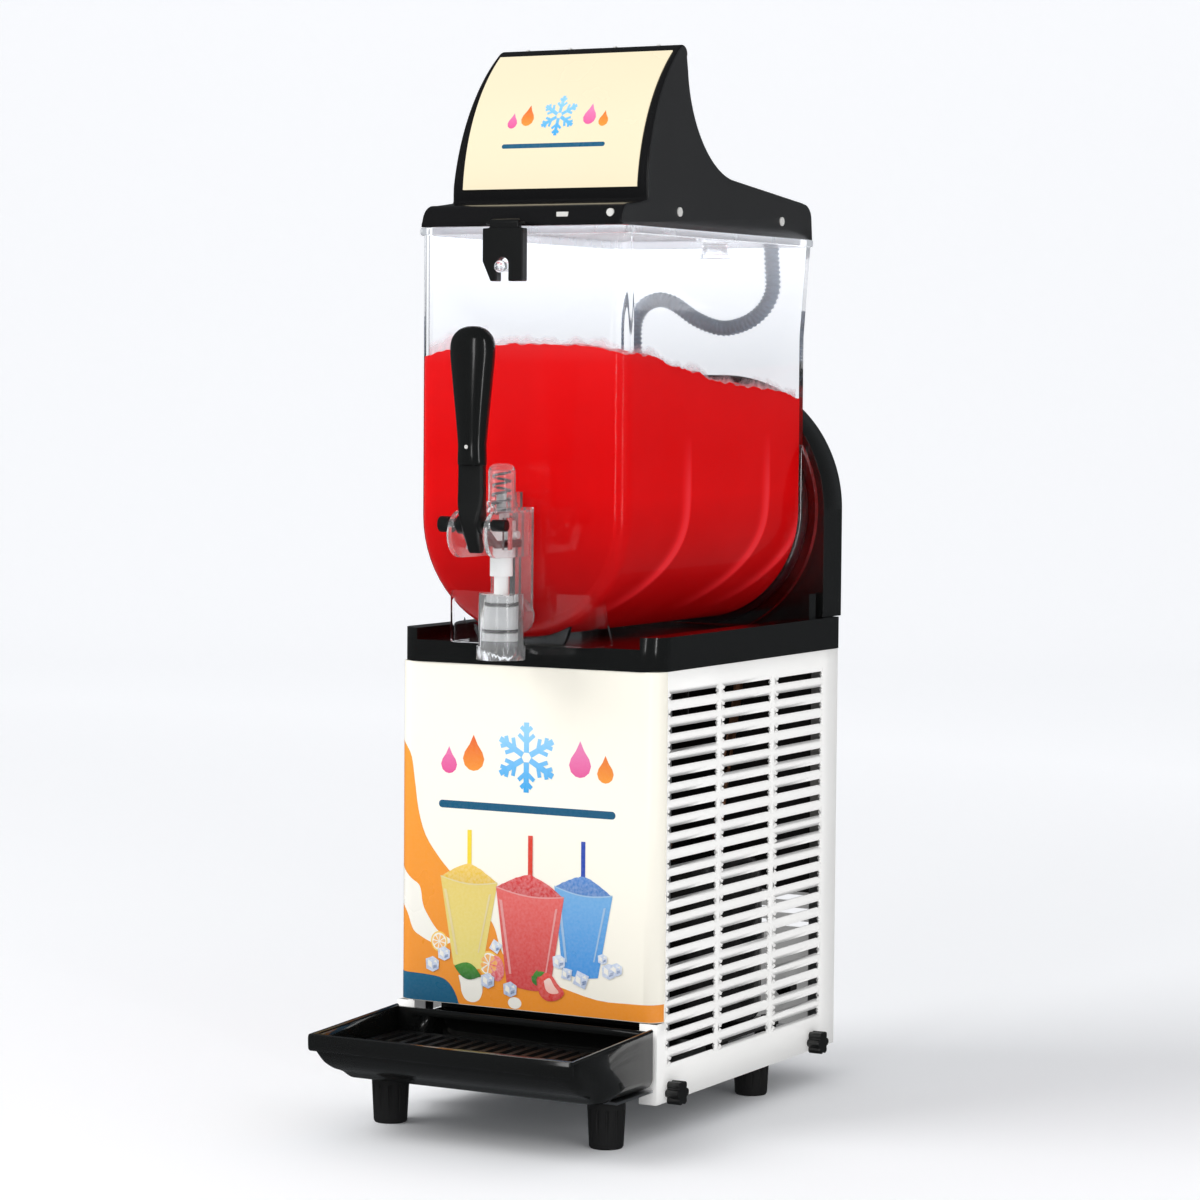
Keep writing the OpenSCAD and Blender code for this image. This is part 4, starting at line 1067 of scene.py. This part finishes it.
def make_garnish():
    """Ice cubes, citrus, berries and a leaf round the feet of the printed cups."""
    cubes = [blob(x, z, size * 1.2, size * 1.2, turn, 4) if turn else placed(CUBE, x, z, 0, size)
             for x, z, size, turn in ICE_CUBES]
    shades = [placed(SHADE, x, z, 0, size) for x, z, size, _ in ICE_CUBES]
    glints = [placed(glint, x, z, 0, size) for x, z, size, _ in ICE_CUBES for glint in GLINTS]
    flesh = []
    for x, z, r in CITRUS:
        for i in range(8):
            mid = radians(45 * i + 12)
            flesh.append([(x + r * t * cos(mid + w), z + r * t * sin(mid + w))
                          for t, w in ((0.14, 0.0), (0.92, -0.30), (1.0, 0.0), (0.92, 0.30))])
    fruit = smoothed([(12, 112), (13, 103), (19, 98), (27, 98.5), (33, 102), (34.5, 106), (29, 111.5),
                      (24, 117.5), (19, 119.5), (14, 117), (12, 112)])[:-1]
    heart = smoothed([(17, 113), (19, 106), (24, 103.5), (30, 105), (26, 110), (22, 115.5), (17, 113)])[:-1]
    sepals = [leafy(9.5, 116, 11, 4, 70), leafy(13, 118, 10, 4, 20), leafy(8.5, 112.5, 9, 4, 120)]
    for name, shapes, layer, slot, tint in (
            ("ice", cubes, 9, "blue", ((0.36, 0.46, 0.68), (0.62, 0.70, 0.84), 100, 140, 0.5)),
            ("ice_shades", shades, 10, "blue", ((0.09, 0.16, 0.34), (0.16, 0.26, 0.48), 100, 140, 0.4)),
            ("ice_glints", glints, 11, "white", None),
            ("citrus_peel", [blob(-77, 136, 15, 16), blob(-32, 122, 19.5, 20)], 3.4, "orange",
             ((0.93, 0.52, 0.04), (0.95, 0.62, 0.10), 110, 145, 0.1)),
            ("citrus_pith", [blob(-77, 136, 12.6, 13.6), blob(-32, 122, 16.6, 17.2)], 3.6, "white", None),
            ("citrus", flesh, 3.8, "orange", ((0.93, 0.36, 0.05), (0.95, 0.50, 0.10), 110, 145, 0.2)),
            ("berry", [blob(-25, 119, 13, 20, 8)], 4.6, "red",
             ((0.70, 0.05, 0.07), (0.88, 0.16, 0.16), 109, 129, 0.3)),
            ("leaf", [leafy(-51, 115, 25, 13, -14)], 9.4, "green", None),
            ("strawberry", [fruit], 9.4, "red", ((0.66, 0.02, 0.012), (0.84, 0.07, 0.05), 98, 120, 0.12)),
            ("strawberry_heart", [heart], 9.8, "red",
             ((0.93, 0.48, 0.40), (0.95, 0.70, 0.62), 103, 116, 0.1)),
            ("sepals", sepals, 10.2, "green", None)):
        printed("print_" + name, shapes, layer, slot, tint)


def bar(start, end, width):
    """Straight bar between two points of the plane."""
    side = (end - start).orthogonal().normalized() * width / 2
    return [tuple(start - side), tuple(end - side), tuple(end + side), tuple(start + side)]


def crystal(x, z, reach, width):
    """Six-armed snow crystal as bars that overlap only at their feet."""
    bars = []
    at = Vector((x, z))
    for i in range(6):
        turn = radians(60 * i + 30)
        along = Vector((cos(turn), sin(turn)))
        across = Vector((-along.y, along.x))
        bars.append(bar(at + along * width * 0.8, at + along * reach, width))
        for share, size in ((0.46, 0.32), (0.74, 0.22)):
            foot = at + along * reach * share
            for way in (-1, 1):
                out = (along * 0.6 + across * way * 0.8) * reach * size
                bars.append(bar(foot + across * way * width * 0.2, foot + out, width * 0.72))
    return bars


def drop(x, z, size):
    """Falling drop with a pointed top."""
    right = [(0, 1.35), (0.30, 0.72), (0.66, 0.22), (0.80, -0.22), (0.66, -0.66), (0.34, -0.92), (0, -1.0)]
    return placed(right + [(-u, v) for u, v in right[-2:0:-1]], x, z, 0, size)


def make_emblem(prefix, x, z, size, place, body):
    """Plain badge: a snow crystal between coloured drops over a teal bar."""
    def drops(*places):
        return [drop(x + u * size, z + v * size, r * size) for u, v, r in places]

    arms = crystal(x, z + 6 * size, 27 * size, 4.6 * size)
    line = plan_rectangle(x - 78 * size, x + 78 * size, z - 37 * size, z - 31 * size, 3 * size - 0.01, 6)
    for part, shapes, slot, low, high, speckle in (
            ("crystal", arms, "blue", (0.0, 0.35, 0.78), (0.28, 0.62, 0.93), 0.05),
            ("drops_orange", drops((-47, 5, 12), (69, -1, 9)), "orange",
             (0.95, 0.40, 0.03), (0.80, 0.10, 0.02), 0.03),
            ("drops_pink", drops((47, 5, 12), (-69, -1, 9)), "red",
             (0.75, 0.02, 0.22), (0.85, 0.25, 0.50), 0.03),
            ("bars", [line], "teal", (0.004, 0.10, 0.20), (0.005, 0.125, 0.24), 0.02)):
        tint = (low, high, z - 24 * size, z + 24 * size, speckle)
        printed(f"{prefix}_{part}", shapes, 1, slot, tint, place, body)


# ---- drip tray and grip

def make_tray():
    """Scoop with a curved belly and rounded cheeks, its lip, and the well that reaches under the panel."""
    low = corners("drip_tray")[0].z + 0.05
    half, inner_y, rear = 113.7, -104, corners("drip_tray")[1].y - 0.1
    belly = [(-226.5, 78.5), (-226.5, 68)]
    belly += smoothed([(-224.5, 63.6), (-216, 55.8), (-205, 50), (-192, 45.5), (-180, low + 0.8),
                       (-170, low)], 4)
    belly += [(inner_y, low)]
    count = len(belly)
    points = [(side * half, y, z) for side in (-1, 1) for y, z in belly]
    points += [(side * half, inner_y, 83.5) for side in (-1, 1)]
    faces = [(i, i + 1, count + i + 1, count + i) for i in range(count - 1)]
    faces += [(*range(count), 2 * count), (*range(count, 2 * count), 2 * count + 1)[::-1]]
    scoop = bevelled(piece("tray_scoop", points, faces, "tray", "black_gloss", 30), 9, 6, 60)
    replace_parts(walled(scoop, 2.6), "drip_tray")
    well, top = 96.8, 77.5
    left = [(-half + 2, inner_y, low + 9), (-well, inner_y, low), (-well, rear, low), (-well, rear, top),
            (-well, inner_y, top), (-half + 2, inner_y, 83)]
    faces = [(0, 1, 4, 5), (1, 2, 3, 4), (2, 9, 8, 3), (9, 10, 7, 8), (10, 11, 6, 7), (1, 10, 9, 2),
             (5, 4, 7, 6)]
    points = left + [(-x, y, z) for x, y, z in left[::-1]]
    walled(piece("tray_well", points, faces, "tray", "black_gloss", 30), 2.4, 1)
    bead = [(-231.8, 77.5), (-231.0, 79.3), (-229.0, 80.0), (-226.6, 79.6), (-225.6, 78.4), (-225.2, 72),
            (-225.6, 68), (-227.6, 66.6), (-229.8, 66.9), (-231.2, 68.4), (-231.7, 72)]
    ends = ((-half - 0.2, 0.25), (-half + 0.5, 0.8), (-half + 1.6, 1.0), (0, 1.0))
    rings = [[(x, -228.5 + (y + 228.5) * share, 73.3 + (z - 73.3) * (0.6 + 0.4 * share)) for y, z in bead]
             for x, share in ends + tuple((-x, share) for x, share in ends[2::-1])]
    piece("tray_lip", *loft(rings), "tray", "black_gloss", 40)
    for name, side in (("tray_edge_left", -1), ("tray_edge_right", 1)):
        rings = [[(side * (half - 1.2) + u, y, z + v) for u, v in oval(1.7, 1.5, 12)]
                 for y, z in ((-229, 78.2), (-200, 79.3), (-150, 81.4), (-104.5, 83.3))]
        piece(name, *loft(rings), "tray", "black_gloss", 60)
    post = ((4.2, low + 2.2), (3.4, low + 3.4), (3.0, corners("drip_grid")[0].z - 0.05))
    for i, centre in enumerate(((-85, -163), (-85, -117), (85, -163), (85, -117))):
        piece(f"tray_post_{i + 1}", *spun(post, centre, 2, 16), "tray", "black_gloss", 50)


GRIP = ((509, 10.9, 5.2), (510, 11.6, 8.2), (516, 11.5, 8.9), (524, 11.3, 9.0), (534, 12.1, 9.5),
        (548, 13.5, 10.4), (562, 15.0, 11.2), (577, 16.6, 11.9), (589, 17.9, 12.4), (596, 18.1, 12.5),
        (601, 17.5, 12.1), (605, 15.8, 11.0), (608.4, 12.8, 9.0), (610.8, 9.0, 6.5), (612.1, 4.8, 3.6),
        (612.4, 1.8, 1.4))


def make_grip():
    """Bat-shaped grip, round at its top and necked where it meets the lever, and its screw."""
    pin_y = JOINTS["lever_pull"]["pos_m"][1] / MM
    rings = [[(u, pin_y + v, z) for u, v in oval(half, deep, 40)] for z, half, deep in smooth_line(GRIP, 3)]
    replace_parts(piece("grip", *loft(rings), "lever", "black_gloss", 70), "lever_grip")
    head = [(r, pin_y - out) for r, out in ((1.5, 8.6), (1.5, 9.2), (1.2, 9.5), (0.6, 9.4), (0.5, 9.0))]
    piece("grip_screw", *spun(head, (0, 523), 1, 20), "lever", "nickel", 40)


# ---- side panels

SLOT_COLUMNS = ((-85.6, -5), (5, 88), (100, 183))
COLUMN_LINES = (-86.7, 0, 94, 189)
SLOT_ROWS, SLOT_PITCH, SLOT_TALL, SLOT_TOP = 23, 12.6, 5, 332


def make_side_panel(name, side):
    """Folded sheet with its grille of round-ended slots and the return at its front."""
    low, high = corners(name)
    x = side * (PANEL_HALF - 0.02)
    bottom, top, back, front = low.z + 0.1, high.z - 0.1, high.y - 0.1, low.y + 0.02
    margin = (SLOT_PITCH - SLOT_TALL) / 2
    foot = SLOT_TOP - SLOT_PITCH * (SLOT_ROWS - 1) - margin
    lines = [foot + SLOT_PITCH * i for i in range(SLOT_ROWS + 1)]
    points, faces = [], []

    def face(*corner_points):
        order = tuple(range(len(points), len(points) + len(corner_points)))
        points.extend(corner_points)
        faces.append(order if side > 0 else order[::-1])

    def flat(y0, y1, z0, z1):
        face((x, y0, z0), (x, y1, z0), (x, y1, z1), (x, y0, z1))

    def slotted(y0, y1, z0, z1, left, right):
        ring = plan_rectangle(left, right, z0 + margin, z1 - margin, SLOT_TALL / 2 - 0.05, 5)
        count = len(ring) // 4
        cell = ((y1, z1), (y0, z1), (y0, z0), (y1, z0))
        for q in range(4):
            arc = ring[q * count:(q + 1) * count]
            for a, b in zip(arc, arc[1:]):
                face((x, *a), (x, *b), (x, *cell[q]))
            face((x, *cell[q]), (x, *cell[q - 3]), (x, *ring[(q + 1) * count % len(ring)]), (x, *arc[-1]))

    columns = list(zip(COLUMN_LINES, COLUMN_LINES[1:]))
    margins = columns + [(COLUMN_LINES[-1], back)]
    for i, (z0, z1) in enumerate(zip(lines, lines[1:])):
        for (y0, y1), (left, right) in zip(columns, SLOT_COLUMNS):
            knob_side = i == 0 and y0 < -50
            slotted(y0, y1, z0, z1, left + (5.6 if knob_side else 0), right)
        flat(*margins[-1], z0, z1)
    for z0, z1 in ((bottom, foot), (lines[-1], top)):
        for y0, y1 in margins:
            flat(y0, y1, z0, z1)
    inner = side * (PANEL_HALF - 15)
    for z0, z1 in ((bottom, foot), (foot, lines[1]), (lines[1], lines[2]), (lines[2], PANEL_LOW - 0.6)):
        flat(front, COLUMN_LINES[0], z0, z1)
        face((inner, front, z0), (x, front, z0), (x, front, z1), (inner, front, z1))
    panel = piece(name + "_sheet", points, faces, "cabinet", "white_sheet", 30, turned=True)
    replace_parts(walled(panel, 1.3), name)


def make_shade_sheets():
    """Black sheets of painted shade behind the upper slots of the left grille and of the rear panel."""
    # painted shade: black sheets where the inside of the cabinet is in shade
    for name, x0, x1, y0, y1, z0, z1 in (("side_shade_sheet", -110.6, -104.8, -70, 182, 172, 340),
                                         ("rear_shade_sheet", -98, 98, 209.4, 212.4, 150, 286),
                                         ("rear_shade_sheet_side", -20, 98, 209.4, 212.4, 285, 316),
                                         ("rear_shade_sheet_top", -98, 98, 209.4, 212.4, 315, 341)):
        rings = [[(x0 + inset, y, z0 + inset), (x1 - inset, y, z0 + inset),
                  (x1 - inset, y, z1 - inset), (x0 + inset, y, z1 - inset)]
                 for y, inset in ((y0, 1.2), (y0 + 0.8, 0), (y1 - 0.8, 0), (y1, 1.2))]
        piece(name, *loft(rings), "cabinet", "rubber", 40)


# ---- lever

def merged(skins):
    """Points and faces of several closed skins as one."""
    points, faces = [], []
    for skin_points, skin_faces in skins:
        faces += [tuple(len(points) + k for k in face) for face in skin_faces]
        points += skin_points
    return points, faces


LEVER_ARM = ((552, 0, 10.2, 0, 3.4), (490, 0, 11.0, 0, 3.7), (483, 0, 11.0, -0.2, 4.0),
             (479, 0.3, 10.7, -0.6, 4.8), (474, 0.9, 9.6, -0.8, 6.6), (469, 1.4, 8.3, -0.6, 7.9),
             (464, 1.6, 7.2, 0, 8.2), (458, 1.8, 6.4, 0.8, 7.4), (451, 1.9, 5.7, 2.0, 6.0),
             (446, 1.9, 5.3, 2.8, 4.8), (444, 1.9, 4.4, 3.0, 3.6))


def make_lever():
    """Flat arm that narrows into a tongue at the pin, with the boss and the fork under the piston's lugs."""
    _, pin_y, pin_z = (c / MM for c in JOINTS["lever_pull"]["pos_m"])
    arm = []
    for z, x, half, y, deep in LEVER_ARM:
        plan = plan_rectangle(x - half, x + half, pin_y + y - deep, pin_y + y + deep, min(deep * 0.6, 3.0), 4)
        arm.append([(px, py, z) for px, py in plan])
    boss = ((6.2, -10.9), (6.9, -10.4), (6.9, 10.4), (6.2, 10.9))
    parts = [loft(arm), spun(boss, (pin_y, pin_z), 0, 32)]
    tip = pin_z - 15
    corner = ((-1, -0.7), (-0.7, -1), (0.7, -1), (1, -0.7), (1, 0.7), (0.7, 1), (-0.7, 1), (-1, 0.7))
    for side in (-1, 1):
        parts.append(loft([[(side * x + u * half, pin_y + y, z + v * 2.9) for u, v in corner]
                           for y, x, z, half in ((1, 6.5, pin_z - 4, 2.6), (7, 8.2, pin_z - 8, 2.6),
                                                 (14, 10.4, tip, 1.9), (20, 10.85, tip, 1.6),
                                                 (46, 10.85, tip, 1.6), (49.5, 10.85, tip, 1.1))]))
    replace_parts(piece("lever_arm", *merged(parts), "lever", "black_satin", 40), "tap_lever")


# ---- CAD nodes that stay

ROUNDED = {name: width for width, names in (
    (1.8, "tower"), (1.6, "deck"), (1.2, "hose_gland hose_plug gear_motor"), (1.0, "lid_latch"),
    (0.9, "knob_front_left knob_front_right knob_rear_left knob_rear_right"),
    (0.8, "lever_pin control_box evaporator_drum"), (0.7, "feet cable_gland"),
    (0.6, "power_rocker light_rocker tap_body auger_hub"),
    (0.5, "front_panel switch_bezels tap_piston tap_cap motor_bracket"),
    (0.4, "base_plate frame fan_shroud rear_screws lamp_strip"), (0.3, "lid_fasteners"),
) for name in names.split()}

OWN_LOOKS = {"tap_spring": "spring_steel", "tap_body": "tap_clear", "tap_cap": "tap_clear"}


def finish_cad_nodes():
    """Gives each CAD node its slot's material, and rounds the edges of those that show."""
    slots = {part["node"]: part["material_slot"] for part in frame["record"]["subparts"]}
    for name, obj in frame["nodes"].items():
        obj.data.materials.clear()
        obj.data.materials.append(MATERIALS[OWN_LOOKS.get(name, slots[name])])
        if name not in ROUNDED:
            continue
        weld = obj.modifiers.new("weld", "WELD")
        weld.merge_threshold = 0.00001
        flat = obj.modifiers.new("flatten", "DECIMATE")
        flat.decimate_type = "DISSOLVE"
        flat.angle_limit = radians(0.5)
        bevelled(obj, ROUNDED[name], 2, 35)


# ---- the whole

bpy.context.scene.view_settings.view_transform = "Standard"
add_camera()
add_world()
add_floor()
add_light("key", (-2.2, -2.0, 2.6), (0, 0, 0.4), (2.4, 2.4), 86, mirrored=False)
add_light("fill_right", (2.0, -0.5, 0.5), (0.1, 0, 0.25), (1.0, 0.8), 5, mirrored=False)
add_light("strip_right", (1.6, -1.2, 0.9), (0.1, -0.05, 0.4), (0.12, 1.5), 4)
add_light("strip_front", (0.2, -2.4, 1.1), (0, -0.1, 0.4), (0.25, 1.6), 5)
for make in (make_hose, make_bowl, make_bowl_rim, make_bowl_flange, make_bowl_apron, make_bowl_foot,
             make_bowl_nub, make_slush, make_frost, make_lid_cover, make_liner_stub, make_sign, make_wave):
    make()
for cup_name, cup_facts in CUPS.items():
    make_cup(cup_name, cup_facts)
make_garnish()
make_emblem("panel", 0, 278, 1.0, on_panel, "cabinet")
make_emblem("sign", 0, 772, 0.58, on_sign, "lid")
make_tray()
make_grip()
make_lever()
make_side_panel("side_panel_left", -1)
make_side_panel("side_panel_right", 1)
make_shade_sheets()
finish_cad_nodes()
